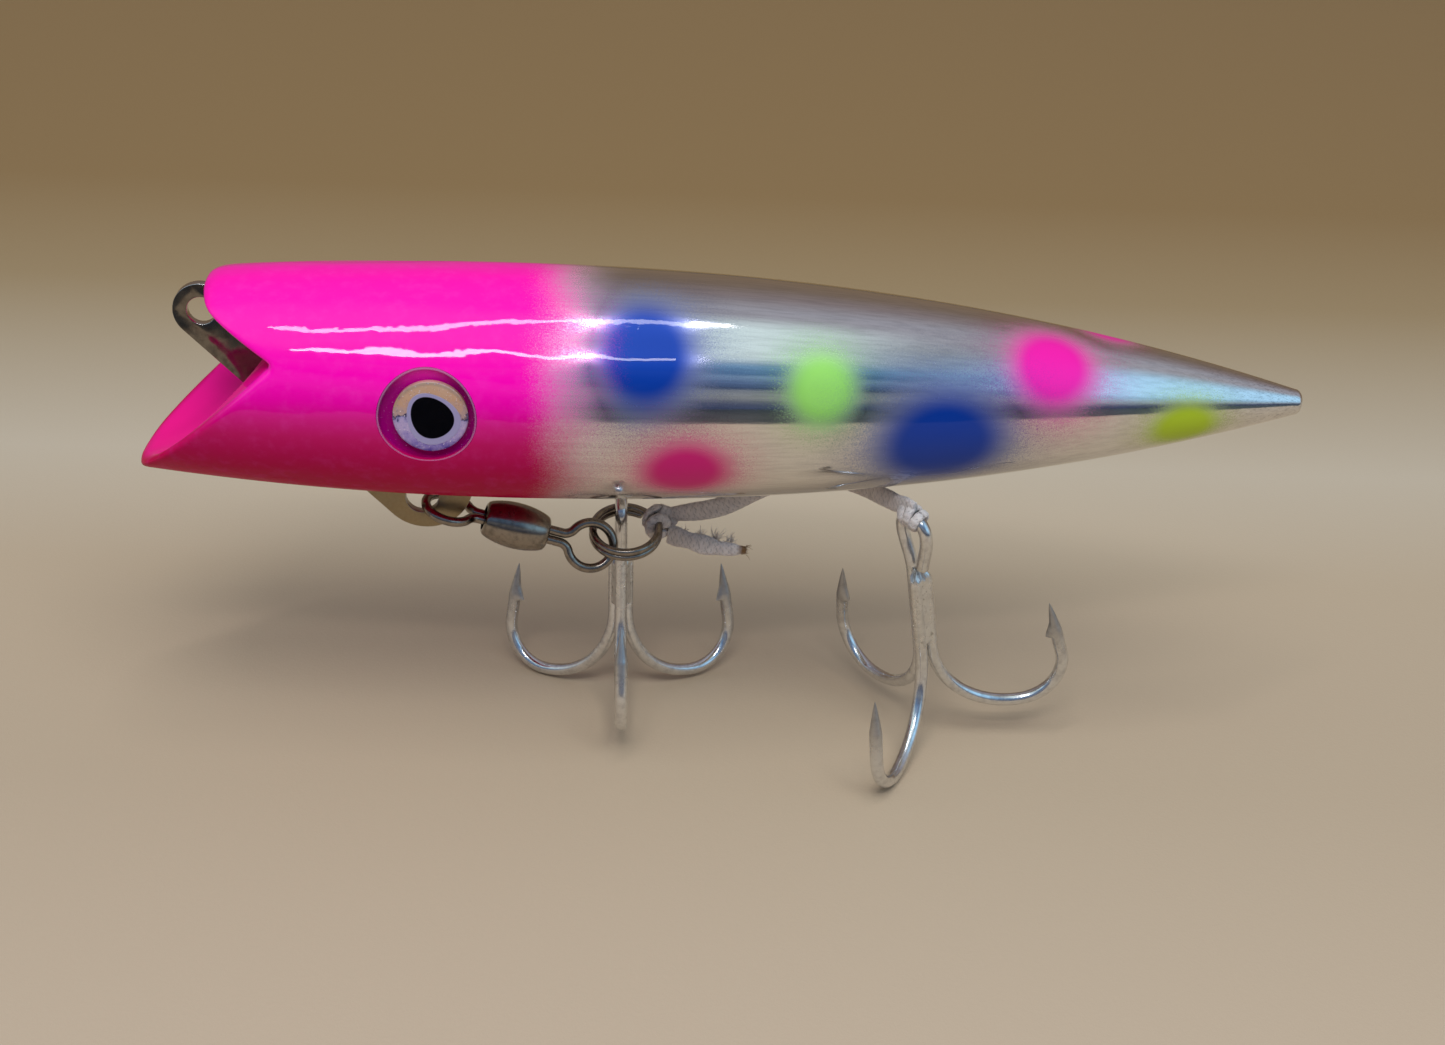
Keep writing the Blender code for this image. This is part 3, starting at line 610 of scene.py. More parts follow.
def piece(name, shells, finish, body, replaced=(), marks=None, sharp=None):
    """Makes one smooth mesh from (points in mm, faces) shells and lets it ride on a CAD body."""
    verts = []
    faces = []
    for shell_verts, shell_faces in shells:
        base = len(verts)
        verts += [tuple(p * MM) for p in np.asarray(shell_verts, float)]
        faces += [tuple(base + i for i in face) for face in shell_faces]
    mesh = bpy.data.meshes.new(name)
    mesh.from_pydata(verts, [], faces)
    for key, values in (marks or {}).items():
        layer = mesh.attributes.new(key, "FLOAT", "POINT")
        layer.data.foreach_set("value", np.asarray(values, np.float32))
    mesh.shade_smooth()
    if sharp:
        mesh.set_sharp_from_angle(angle=math.radians(sharp))
    mesh.materials.append(finish)
    made = bpy.data.objects.new(name, mesh)
    bpy.context.scene.collection.objects.link(made)
    attach(made, body, replaced)
    return made


def attach(made, body, replaced=()):
    """Sets which CAD body a piece rides on and hides the nodes it stands for."""
    if body:
        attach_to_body(made, body)
    if replaced:
        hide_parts(*replaced)


def lattice(rows, wrap=True, caps=True):
    """Joins rows of points into quads; wrap closes each row on itself, and caps close the two ends."""
    rows = np.asarray(rows, float)
    count, width = rows.shape[:2]
    faces = []
    for i in range(count - 1):
        for j in range(width if wrap else width - 1):
            k = (j + 1) % width
            faces.append((i * width + j, i * width + k, (i + 1) * width + k, (i + 1) * width + j))
    if caps:
        faces.append(tuple(range(width))[::-1])
        faces.append(tuple((count - 1) * width + j for j in range(width)))
    return rows.reshape(-1, 3), faces


def frames_along(points, hint):
    """Two cross directions at each point of a line, turning as little as possible."""
    tangents = np.gradient(points, axis=0)
    tangents /= np.linalg.norm(tangents, axis=1)[:, None]
    first = np.asarray(hint, float)
    if abs(first @ tangents[0]) > 0.95:
        first = np.array([1.0, 0.3, 0.0])
    normals = []
    for t in tangents:
        first = unit(first - t * (first @ t))
        normals.append(first)
    normals = np.array(normals)
    return normals, np.cross(tangents, normals)


def circle(sides):
    """Evenly spaced angles."""
    return np.arange(sides) * math.tau / sides


def tube(points, radii, sides=18, hint=UP, swell=None):
    """A round wire along points. swell(row, angles) gives an extra radius for each point of a row."""
    points = np.asarray(points, float)
    radii = np.broadcast_to(radii, (len(points),))
    normals, sideways = frames_along(points, hint)
    angles = circle(sides)
    rows = []
    for i, point in enumerate(points):
        reach = radii[i] + (swell(i, angles) if swell else np.zeros(sides))
        level = (np.cos(angles) * reach)[:, None] * normals[i]
        rows.append(point + level + (np.sin(angles) * reach)[:, None] * sideways[i])
    return lattice(rows)


def turned(profile, start, axis, sides=64):
    """Turns (distance along the axis, radius) points about the axis."""
    axis = unit(axis)
    first = unit(np.cross(axis, UP if abs(axis[2]) < 0.9 else (0.0, 1.0, 0.0)))
    second = np.cross(axis, first)
    angles = circle(sides)
    spokes = np.cos(angles)[:, None] * first + np.sin(angles)[:, None] * second
    return [np.asarray(start) + axis * d + r * spokes for d, r in profile]


def resample(points, spacing):
    """Points at even distances along a smooth curve through the given ones."""
    points = np.asarray(points, float)
    ends = np.vstack([2 * points[0] - points[1], points, 2 * points[-1] - points[-2]])
    dense = []
    for a, b, c, d in zip(ends, ends[1:], ends[2:], ends[3:]):
        for t in np.arange(0, 1, 0.05):
            dense.append(0.5 * (2 * b + (c - a) * t + (2 * a - 5 * b + 4 * c - d) * t ** 2
                                + (3 * b - a - 3 * c + d) * t ** 3))
    dense.append(points[-1])
    dense = np.array(dense)
    run = distances(dense)
    even = np.linspace(0, run[-1], max(2, int(run[-1] / spacing)) + 1)
    return np.column_stack([np.interp(even, run, dense[:, k]) for k in range(3)])


def boolean_cut(target, tools):
    """Cuts closed tool meshes out of target and keeps the result as target's own mesh."""
    for i, tool in enumerate(tools):
        step = target.modifiers.new(f"cut_{i}", "BOOLEAN")
        step.operation = "DIFFERENCE"
        step.solver = "EXACT"
        step.object = tool
    bake(target)
    for tool in tools:
        bpy.data.objects.remove(tool)


def bake(target):
    """Turns an object's modifiers into its mesh."""
    bpy.context.view_layer.update()
    made = bpy.data.meshes.new_from_object(target.evaluated_get(bpy.context.evaluated_depsgraph_get()))
    target.modifiers.clear()
    old = target.data
    made.name = old.name + "_final"
    target.data = made
    bpy.data.meshes.remove(old)


def drum(name, centre, axis, radius, length, sides=96):
    """A temporary closed cylinder used as a cutter, in mm."""
    verts, faces = lattice(turned([(-length / 2, radius), (length / 2, radius)], centre, axis, sides))
    mesh = bpy.data.meshes.new(name)
    mesh.from_pydata([tuple(p * MM) for p in verts], [], faces)
    face_outward(mesh)
    tool = bpy.data.objects.new(name, mesh)
    bpy.context.scene.collection.objects.link(tool)
    return tool


def face_outward(mesh, weld=False):
    """Turns all faces outward; weld first joins points that lie together."""
    bm = bmesh.new()
    bm.from_mesh(mesh)
    if weld:
        bmesh.ops.remove_doubles(bm, verts=bm.verts, dist=2e-6)
        bmesh.ops.dissolve_degenerate(bm, edges=bm.edges, dist=1e-7)
    bmesh.ops.recalc_face_normals(bm, faces=bm.faces)
    bm.to_mesh(mesh)
    bm.free()


# ---------------------------------------------------------------- body

MIRROR = np.array([1.0, -1.0, 1.0])


def soft_min(a, b, width):
    """The smaller of two values, rounded where they cross."""
    h = np.clip(0.5 + 0.5 * (b - a) / width, 0, 1)
    return b * (1 - h) + a * h - width * h * (1 - h)


def mouth_cut(z):
    """The station of the mouth's cut at each height: two slopes that meet in a rounded corner."""
    lower = MOUTH_CORNER[0] - (MOUTH_CORNER[1] - z) / math.tan(LOWER_CUT)
    upper = MOUTH_CORNER[0] - (z - MOUTH_CORNER[1]) / math.tan(UPPER_CUT)
    return soft_min(lower, -soft_min(-upper, -np.full_like(z, LIP_FRONT), 2.5), 1.2)


def scoop(z, y):
    """How far the lower jaw is hollowed, square to its cut."""
    slope = (MOUTH_CORNER[1] - z) / math.sin(LOWER_CUT)
    middle = 0.5 * MOUTH_CORNER[0] / math.cos(LOWER_CUT)
    ball = (SCOOP_RADIUS ** 2 + SCOOP_DEPTH ** 2) / (2 * SCOOP_DEPTH)
    away = np.sqrt((slope - middle) ** 2 + y ** 2)
    deep = np.sqrt(np.maximum(ball ** 2 - away ** 2, 0)) - (ball - SCOOP_DEPTH)
    return SCOOP_SOFTNESS * np.log1p(np.exp(np.clip(deep / SCOOP_SOFTNESS, -40, 40)))


def skin_row(s, theta):
    """Points of the skin at the given stations and angles."""
    r = skin_radius(s, theta)
    return np.column_stack([s, r * np.cos(theta), r * np.sin(theta)])


def unit_rows(rows):
    """Each row at length one."""
    return rows / np.linalg.norm(rows, axis=1)[:, None]


def within(face, edge, other):
    """Directions that lie in one face, square to its edge, and lead away from the other face."""
    across = np.cross(face, edge)
    return across * -np.sign(np.sum(across * other, axis=1))[:, None]


def mouth_rim(theta):
    """Three lines round the mouth: the skin's end, the sharp corner, and the start of the mouth's face."""
    s = np.full(len(theta), 20.0)
    for _ in range(60):
        s = mouth_cut(skin_radius(s, theta) * np.sin(theta))
    corner = skin_row(s, theta)
    mirrored = np.vstack([corner[1] * MIRROR, corner, corner[-2] * MIRROR])
    edge = unit_rows(mirrored[2:] - mirrored[:-2])
    slope = (skin_radius(s + 0.01, theta) - skin_radius(s - 0.01, theta)) / 0.02
    skin_normal = unit_rows(np.column_stack([-slope, np.cos(theta), np.sin(theta)]))
    lean = (mouth_cut(corner[:, 2] + 0.01) - mouth_cut(corner[:, 2] - 0.01)) / 0.02
    face_normal = unit_rows(np.column_stack([-np.ones_like(lean), np.zeros_like(lean), lean]))
    lip = smooth(theta, 0.7, 1.35)[:, None]
    chin = smooth(-theta, 0.9, 1.4)[:, None]
    skin = corner + within(skin_normal, edge, face_normal) * (RIM_ROUND + 2.5 * lip + 1.6 * chin)
    skin = skin_row(skin[:, 0], np.arctan2(skin[:, 2], skin[:, 1]))
    face = corner + within(face_normal, edge, skin_normal) * (RIM_ROUND + 0.1 * lip + 1.0 * chin)
    face[:, 0] = mouth_cut(face[:, 2])
    return skin, corner, face


def skin_shell(theta, skin, corner, face):
    """From the mouth's face over the rounded rim and along the body to the tail's tip."""
    rows = []
    for t in np.linspace(0, 1, 8)[::-1]:
        rows.append(skin * (1 - t) ** 2 + corner * 2 * t * (1 - t) + face * t ** 2)
    shoulder = LENGTH - TAIL_ROUND
    first = np.arctan2(skin[:, 2], skin[:, 1])
    for t in np.linspace(0, 1, 171)[1:]:
        s = skin[:, 0] + (shoulder - skin[:, 0]) * t
        rows.append(skin_row(s, first + (theta - first) * smooth(t, 0, 0.12)))
    tip = float(radius_at(shoulder))
    for degrees in (15, 30, 45, 60, 75, 90):
        a = math.radians(degrees)
        radius = tip * math.cos(a) ** 0.8 if degrees < 90 else 0.0
        s = np.full(len(theta), shoulder + TAIL_ROUND * math.sin(a))
        rows.append(np.column_stack([s, radius * np.cos(theta), radius * np.sin(theta)]))
    rows = [np.vstack([row, (row * MIRROR)[-2:0:-1]]) for row in rows]
    return lattice(rows, True, False)


def mouth_shell(line):
    """The mouth's cut with the scooped lower jaw, from side to side between the points of its outline."""
    across = np.linspace(1, -1, 97)
    rows = []
    for point in line:
        y = across * point[1]
        z = np.full_like(y, point[2])
        deep = scoop(z, y) * (1 if point[2] < MOUTH_CORNER[1] + 3 else 0)
        x = mouth_cut(z) + deep * math.sin(LOWER_CUT)
        rows.append(np.column_stack([x, y, z - deep * math.cos(LOWER_CUT)]))
    rows = np.array(rows)
    rows[:, 0] = line
    rows[:, -1] = line * MIRROR
    return lattice(rows, False, False)


def body_cutters():
    """Cutters for the two eye sockets and the two ballast bores."""
    depth = 10.0
    tools = []
    for side in (-1, 1):
        centre = at(EYE[0], side * (SOCKET_FLOOR + depth / 2), EYE[1])
        tools.append(drum(f"socket_{side}", centre, (0, side, 0), SOCKET_RADIUS, depth, 128))
    for station, label in zip(BALLAST_STATIONS, ("front", "rear")):
        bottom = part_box(f"ballast_plug_{label}")[0].z / MM - 0.15
        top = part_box(f"ballast_{label}")[1].z / MM + 0.3
        centre = at(station, 0, (bottom + top) / 2)
        tools.append(drum(f"bore_{label}", centre, UP, BALLAST_BORE, top - bottom, 48))
    return tools


def make_body(finish):
    theta = np.radians(np.linspace(-90, 90, 121))
    skin, corner, face = mouth_rim(theta)
    shift = np.array([NOSE, 0, 0])
    shells = (skin_shell(theta, skin, corner, face), mouth_shell(face))
    body = piece("popper_body", [(verts - shift, faces) for verts, faces in shells], finish, None)
    face_outward(body.data, True)
    boolean_cut(body, body_cutters())
    body.data.shade_smooth()
    body.data.set_sharp_from_angle(angle=math.radians(40))
    attach(body, "lure", ["body"])


# ---------------------------------------------------------------- plate and eyes

def plate_outline():
    """Station and height round the plate: a round line-tie end, a straight bar and the belly tab."""
    along = np.array([math.cos(PLATE_ANGLE), math.sin(PLATE_ANGLE)])
    across = np.array([-along[1], along[0]])
    head = np.array(LINE_TIE)
    turns = np.radians(np.linspace(90, 270, 40)) + PLATE_ANGLE
    outline = [head + PLATE_HALF * np.array([math.cos(t), math.sin(t)]) for t in turns]
    tab = head + along * HANGER_DISTANCE + across * (HANGER_RADIUS - PLATE_HALF)
    turns = np.radians(np.linspace(-90, 84, 60)) + PLATE_ANGLE
    outline += [tab + HANGER_RADIUS * np.array([math.cos(t), math.sin(t)]) for t in turns]
    outline.append(head + along * (HANGER_DISTANCE - HANGER_RADIUS - 4.0) + across * PLATE_HALF)
    return outline


def make_plate(finish):
    outline = plate_outline()
    rows = [[at(x, y, z) for x, z in outline] for y in (-PLATE_SIDE, PLATE_SIDE)]
    plate = piece("popper_spine_plate", [lattice(rows)], finish, None)
    face_outward(plate.data)
    pin = np.array(LINE_TIE) + PIN_DISTANCE * np.array([math.cos(PLATE_ANGLE), math.sin(PLATE_ANGLE)])
    holes = [(LINE_TIE, LINE_TIE_HOLE), (HANGER_HOLE, HANGER_HOLE_RADIUS), (pin, PIN_HOLE)]
    boolean_cut(plate, [drum(f"plate_hole_{i}", at(centre[0], 0, centre[1]), (0, 1, 0), radius, 6.0, 72)
                        for i, (centre, radius) in enumerate(holes)])
    edge = plate.modifiers.new("edge", "BEVEL")
    edge.width = 0.40 * MM
    edge.segments = 4
    edge.limit_method = "ANGLE"
    edge.angle_limit = math.radians(40)
    edge.harden_normals = True
    bake(plate)
    plate.data.shade_smooth()
    plate.data.set_sharp_from_angle(angle=math.radians(28))
    attach(plate, "lure", ["spine_plate"])


def make_eye_disc(label, side, foil):
    """The foil disc. Returns how far its outer face lies from the middle plane."""
    low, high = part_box(f"eye_disc_{label}")
    inner = min(abs(low.y), abs(high.y)) / MM
    outer = max(abs(low.y), abs(high.y)) / MM + 0.5
    profile = [(inner, 0.01), (inner, DISC_RADIUS - 0.1), (inner + 0.1, DISC_RADIUS),
               (outer - 0.08, DISC_RADIUS), (outer, DISC_RADIUS - 0.12)]
    profile += [(outer, DISC_RADIUS * k / 8) for k in range(7, 0, -1)]
    rows = turned(profile, at(DISC_CENTRE[0], 0, DISC_CENTRE[1]), (0, side, 0), 96)
    piece(f"popper_eye_disc_{label}", [lattice(rows)], foil, "lure", [f"eye_disc_{label}"],
          None, 40)
    return outer


def make_eye_dome(label, side, disc_face, resin):
    """Clear resin that fills the socket over the disc and stands a little proud of the skin."""
    spokes = 128
    turns = circle(spokes)
    lens = SOCKET_RADIUS - 0.08

    def layer(share, proud, deepest=None):
        station = EYE[0] + lens * share * np.cos(turns)
        height = EYE[1] + lens * share * np.sin(turns)
        depth = np.sqrt((radius_at(station) + proud) ** 2 - height ** 2)
        if deepest:
            depth = np.minimum(depth, deepest)
        return np.column_stack([station - NOSE, side * depth, height])

    shares = [0.004] + [k / 24 for k in range(1, 24)] + [0.978, 1.0]
    rows = [layer(share, 0.30 * (1 - share ** 2.2) - 0.03) for share in shares]
    rows.append(layer(1.0, -0.2))
    rows += [layer(share, -0.3, disc_face + 0.15) for share in (0.99, 0.8, 0.6, 0.4, 0.2, 0.004)]
    count = len(shares)
    rim = np.repeat([1.0 if count - 2 <= i <= count else 0.0 for i in range(len(rows))], spokes)
    face = np.repeat([1.0 if i < count else 0.0 for i in range(len(rows))], spokes)
    piece(f"popper_eye_dome_{label}", [lattice(rows)], resin, "lure", [f"eye_dome_{label}"],
          {"rim": rim, "face": face}, 50)


def make_eye(label, side, resin):
    disc_face = make_eye_disc(label, side, eye_foil(f"eye_foil_{label}"))
    make_eye_dome(label, side, disc_face, resin)


# ---------------------------------------------------------------- swivel and split ring

def swivel_loop(centre, outward, lateral, leg):
    """A wire eye: a round loop, two fillets, and two legs that run back into the barrel."""
    reach = LOOP_RADIUS + LOOP_FILLET
    rise = LEG_SPREAD + LOOP_FILLET
    back = math.sqrt(reach ** 2 - rise ** 2)
    meet = math.atan2(rise, -back)
    loop = [(LOOP_RADIUS * math.cos(t), LOOP_RADIUS * math.sin(t)) for t in np.linspace(-meet, meet, 90)]
    upper = [(-back + LOOP_FILLET * math.cos(t), rise + LOOP_FILLET * math.sin(t))
             for t in np.linspace(meet - math.pi, -math.pi / 2, 16)[1:]]
    lower = [(s, -w) for s, w in reversed(upper)]
    legs = np.linspace(leg, back + 0.4, 14)
    flat = [(-d, -LEG_SPREAD) for d in legs] + lower + loop + upper + [(-d, LEG_SPREAD) for d in legs[::-1]]
    return [centre + outward * s + lateral * w for s, w in flat]


def across_axis(direction, axis):
    """The part of a direction that is square to the axis, at length one."""
    direction = unit(direction)
    return unit(direction - axis * (direction @ axis))


def make_swivel_eye(name, centre, out, lateral, leg, finish):
    """One wire eye with the small head that holds it in the barrel."""
    points = swivel_loop(centre, out, lateral, leg)
    wire = tube(points, LOOP_WIRE, 20, np.cross(out, lateral))
    profile = [(0.0, 0.05), (0.0, 1.9), (0.2, 2.25), (0.8, 2.3), (1.1, 2.1), (1.25, 1.6), (1.3, 0.05)]
    head = lattice(turned(profile, centre - out * (leg + 0.9), out, 40))
    piece(f"popper_swivel_{name}_eye", [wire, head], finish, f"swivel_{name}", [f"swivel_{name}_eye"],
          None, 50)


def make_barrel(start, axis, finish):
    """A hollow barrel, swelled in the middle, with an open bore at each end."""
    outer = []
    inner = []
    for share in np.linspace(0, 1, 45):
        swell = BARREL_SWELL * max(0.0, math.sin(math.pi * share)) ** 0.62
        soft = 0.16 * math.exp(-min(share, 1 - share) * 60)
        outer.append((BARREL_LENGTH * share, BARREL_END + swell - soft))
        if 0.1 < share < 0.9:
            inner.append((BARREL_LENGTH * share, BARREL_BORE + 1.1 * math.sin(math.pi * share) ** 0.7))
    lip = BARREL_BORE + 0.03
    profile = [(0.0, lip)] + outer + [(BARREL_LENGTH, lip), (BARREL_LENGTH - 0.9, BARREL_BORE)] + inner[::-1]
    profile.append((0.9, BARREL_BORE))
    sides = 72
    verts, faces = lattice(turned(profile, start, axis, sides), True, False)
    last = (len(profile) - 1) * sides
    faces += [(last + j, last + (j + 1) % sides, (j + 1) % sides, j) for j in range(sides)]
    piece("popper_swivel_barrel", [(verts, faces)], finish, "swivel_barrel", ["swivel_barrel"],
          None, 50)


def make_swivel(finish):
    pivot = PIVOTS["swivel_pitch"]
    axis = AXES["barrel_spin"]
    rear_reach = (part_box("swivel_rear_eye")[1].x / MM - pivot[0]) / axis[0] - 4.35
    lean = math.radians(6)
    side = across_axis((0, -math.cos(lean), -math.sin(lean)), axis)
    lean = math.radians(20)
    rise = across_axis((0, math.sin(lean), math.cos(lean)), axis)
    buried = 2.2
    front_leg = BARREL_START + buried - LOOP_RADIUS
    rear_leg = rear_reach - 0.05 - (BARREL_START + BARREL_LENGTH - buried)
    make_swivel_eye("front", pivot + axis * LOOP_RADIUS, -axis, side, front_leg, finish)
    make_swivel_eye("rear", pivot + axis * rear_reach, axis, rise, rear_leg, finish)
    make_barrel(pivot + axis * BARREL_START, axis, finish)


def ring_directions():
    """The split ring's own axes: towards its far end, across it, and square to it."""
    return (np.array([1.0, 0, 0]), np.array([0, math.cos(RING_TILT), math.sin(RING_TILT)]),
            np.array([0, -math.sin(RING_TILT), math.cos(RING_TILT)]))


def ring_point(degrees, radius=RING_RADIUS, lift=0.0):
    """A point on or near the split ring."""
    right, far, normal = ring_directions()
    turn = math.radians(degrees)
    spoke = right * math.cos(turn) + far * math.sin(turn)
    return PIVOTS["ring_swing"] + right * RING_RADIUS + spoke * radius + normal * lift


def make_ring(finish):
    """Nearly two turns of wire that lie on one another."""
    steps = 330
    points = []
    for i in range(steps + 1):
        lift = RING_PITCH * RING_TURNS * (i / steps - 0.5)
        points.append(ring_point(RING_START + 360 * RING_TURNS * i / steps, lift=lift))

    def flatten(row, angles):
        return -0.05 * np.abs(np.cos(angles)) ** 6

    radii = np.full(steps + 1, RING_WIRE)
    radii[:3] *= (0.82, 0.93, 0.98)
    radii[-3:] *= (0.98, 0.93, 0.82)
    wire = tube(points, radii, 20, ring_directions()[2], flatten)
    piece("popper_split_ring", [wire], finish, "split_ring", ["split_ring"], None, 50)


# ---------------------------------------------------------------- trebles

def hook_profile(shank, bends):
    """One hook as (distance from the shank's axis, depth below the eye) points, ending in a sharp point."""
    wide, tight = bends
    bottom = HOOK_OFFSET + wide
    points = [(HOOK_OFFSET, d) for d in np.linspace(HOOK_EYE_NECK + 0.9, shank - 0.5, 22)]
    points += [(bottom - wide * math.cos(a), shank + wide * math.sin(a))
               for a in np.linspace(0, math.pi / 2, 44)[:-1]]
    points += [(bottom + tight * math.sin(a), shank + wide - tight * (1 - math.cos(a)))
               for a in np.linspace(0, POINT_TURN, 30)]
    foot = points[-1]
    points += [(foot[0] + d * math.cos(POINT_TURN), foot[1] - d * math.sin(POINT_TURN))
               for d in np.linspace(0, POINT_LENGTH, 40)[1:]]
    return points


def eye_profile():
    """The treble's eye: one wire's loop that runs into the shank on both sides."""
    def neck(depth):
        share = 0.5 + 0.5 * math.cos(math.pi * depth / HOOK_EYE_NECK)
        return HOOK_OFFSET + (HOOK_EYE_RADIUS - HOOK_OFFSET) * share

    depths = np.linspace(0, HOOK_EYE_NECK, 22)
    fall = [(-neck(d), d) for d in depths[1:-3][::-1]]
    crown = [(HOOK_EYE_RADIUS * math.cos(a), -HOOK_EYE_RADIUS * math.sin(a))
             for a in np.linspace(math.pi, 0, 50)]
    rise = [(neck(d), d) for d in depths[1:]]
    return fall + crown + rise


def hook_shell(flat, eye, out, down):
    """Sweeps the wire, tapers its point and raises the barb. Also gives each vertex's distance to the
    point and its depth below the eye.
    """
    points = np.array([eye + out * r + down * d for r, d in flat])
    run = distances(points)
    left = run[-1] - run
    radii = HOOK_WIRE * np.clip((left / 5.6) ** 0.78, 0.03, 1.0)
    radii[0] *= 0.8

    def barb(row, angles):
        raise_by = 0.85 * np.interp(left[row], [3.9, 6.4, 6.75], [0.0, 1.0, 0.0])
        return raise_by * np.clip(np.cos(angles), 0, 1) ** 9

    hint = np.cross(np.cross(out, down), points[1] - points[0])
    normals, _ = frames_along(points, hint)
    if normals[-20] @ out > 0:
        hint = -hint
    sides = 20
    depth = np.repeat([d for _, d in flat], sides)
    return tube(points, radii, sides, hint, barb), np.repeat(left, sides), depth


def hook_axes(down):
    """Two directions square to the shank; the hooks' turns are measured from the first."""
    ahead = unit(np.array([1.0, 0, 0]) - down * down[0])
    return ahead, np.cross(ahead, down)


def make_treble(name, eye, sizes, finish, seed):
    down = unit(sizes["down"])
    ahead, aside = hook_axes(down)
    profile = hook_profile(sizes["shank"], sizes["bends"])
    top = HOOK_EYE_NECK - 0.4
    end = sizes["shank"] - 1.0
    for label, extra in (("eye_hook", 0), ("left_hook", -120), ("right_hook", 120)):
        angle = math.radians(sizes["turn"] + extra)
        out = ahead * math.cos(angle) + aside * math.sin(angle)
        flat = (eye_profile() + profile) if label == "eye_hook" else profile
        shell, along, depth = hook_shell(flat, eye, out, down)
        brazed = ((depth > top) & (depth < end) & (along > 25)).astype(float) * 0.6
        piece(f"popper_{name}_{label}", [shell], finish, name, [f"{name}_{label}"],
              {"along": along, "brazed": brazed}, 60)
    make_solder(name, eye, down, sizes["turn"], top, end, finish, seed)


def make_solder(name, eye, down, turn, top, end, finish, seed):
    """The web of solder that fills the valleys between the three shanks, ragged at its upper end."""
    ahead, aside = hook_axes(down)
    web = HOOK_OFFSET * 0.5 + HOOK_WIRE - 0.10
    core = 0.8
    rows = []
    for d in np.linspace(top, end, 60):
        fill = smooth(d - top, -0.2, 1.4) * smooth(end - d, -0.1, 0.5)
        row = []
        for a in circle(60):
            valley = (math.degrees(a) - turn) % 120 - 60
            wave = noise.noise(Vector((math.cos(a) * 1.3, math.sin(a) * 1.3, d * 0.5 + seed)))
            full = min(web / math.cos(math.radians(valley)), HOOK_OFFSET + 0.7)
            reach = core + (full - core + 0.07 * wave) * fill
            ragged = 1.6 * noise.noise(Vector((math.cos(a) * 2.2, math.sin(a) * 2.2, seed)))
            out = ahead * math.cos(a) + aside * math.sin(a)
            row.append(eye + out * reach + down * (d + ragged * (1 - smooth(d - top, 0, 3.0))))
        rows.append(row)
    shell = lattice(rows)
    count = len(shell[0])
    piece(f"popper_{name}_braze", [shell], finish, name, (),
          {"along": np.full(count, 40.0), "brazed": np.ones(count)}, 60)


def rear_eye():
    """The tail treble's eye centre, shank direction and the direction of its eye hook."""
    down = unit(REAR_TREBLE["down"])
    return PIVOTS["rear_treble_swing"] + down * HOOK_EYE_RADIUS, down, AXES["rear_treble_swing"]


# ---------------------------------------------------------------- cord

def braided(points, width, thickness, hint, pick=0.95, sides=56, left=None):
    """A flat braid: an oval tube with crossing strands. width and thickness may vary by row."""
    count = len(points)
    width = np.broadcast_to(width, (count,))
    thickness = np.broadcast_to(thickness, (count,))
    normals, sideways = frames_along(points, hint)
    run = distances(points)
    angles = circle(sides)
    flat = np.sign(np.cos(angles)) * np.abs(np.cos(angles)) ** 0.75
    rows = []
    relief = []
    for i, point in enumerate(points):
        phase = run[i] / pick * math.pi
        a = np.abs(np.sin(STRANDS * angles / 2 + phase))
        b = np.abs(np.sin(STRANDS * angles / 2 - phase))
        height = np.where(np.sin(STRANDS * angles) * math.cos(2 * phase) > 0, a, b)
        relief.append(height)
        wide = width[i] + STRAND_SWELL * height
        thick = thickness[i] + STRAND_SWELL * height
        level = (flat * wide)[:, None] * normals[i]
        rows.append(point + level + (np.sin(angles) * thick)[:, None] * sideways[i])
    along = np.full(count * sides, 50.0) if left is None else np.repeat(left - run, sides)
    return lattice(rows), along, np.concatenate(relief)


def cord_piece(name, parts, finish, body, replaced):
    """Makes a piece from braided parts."""
    marks = {"along": np.concatenate([p[1] for p in parts]), "relief": np.concatenate([p[2] for p in parts])}
    return piece(name, [p[0] for p in parts], finish, body, replaced, marks)


def tuft(start, heading, count, length, seed):
    """Loose fibres that stand out of the braid."""
    draw = random.Random(seed)
    shells = []
    for _ in range(count):
        go = unit(np.asarray(heading) + np.array([draw.uniform(-0.7, 0.7) for _ in range(3)]))
        bend = np.array([draw.uniform(-1, 1) for _ in range(3)]) * 0.35
        reach = length * draw.uniform(0.5, 1.0)
        foot = start + np.array([draw.uniform(-0.4, 0.4), draw.uniform(-0.15, 0.15), draw.uniform(-0.9, 0.9)])
        points = [foot + go * reach * t + bend * (t * t) * reach for t in np.linspace(0, 1, 6)]
        shells.append(tube(points, np.linspace(0.05, 0.02, 6), 5))
    return shells


def points_in(shells):
    return sum(len(verts) for verts, _ in shells)


def hitch_gather():
    """Where the hitch's strands come together."""
    return ring_point(HITCH_PLACE + 3, RING_RADIUS + 2.6, 0.3)


def hitch_wrap(offset, spread, lift):
    """One bight of the hitch: a strand that passes round the ring's wires."""
    points = []
    for t in np.linspace(0, math.tau, 46)[:-3]:
        place = HITCH_PLACE + offset + spread * math.sin(t)
        points.append(ring_point(place, RING_RADIUS + 1.25 * math.cos(t), lift + 1.85 * math.sin(t)))
    hint = unit(ring_point(HITCH_PLACE, lift=0.48) - ring_point(HITCH_PLACE + 180))
    return braided(resample(points, 0.22), 0.78, CORD_THICKNESS, hint, 0.6, 36)


def hitch_strand(shift, side):
    """A strand from the ring to where the hitch comes together; side is 1 over the ring and -1 under it."""
    points = [ring_point(HITCH_PLACE + shift, RING_RADIUS + 0.9, 2.1 * side),
              ring_point(HITCH_PLACE + shift * 0.6, RING_RADIUS + 2.0, 1.3 * side),
              hitch_gather() + np.array([0.9, 0, 0.25 * side])]
    return braided(resample(points, 0.22), 0.8, 0.5, UP, 0.6, 36)


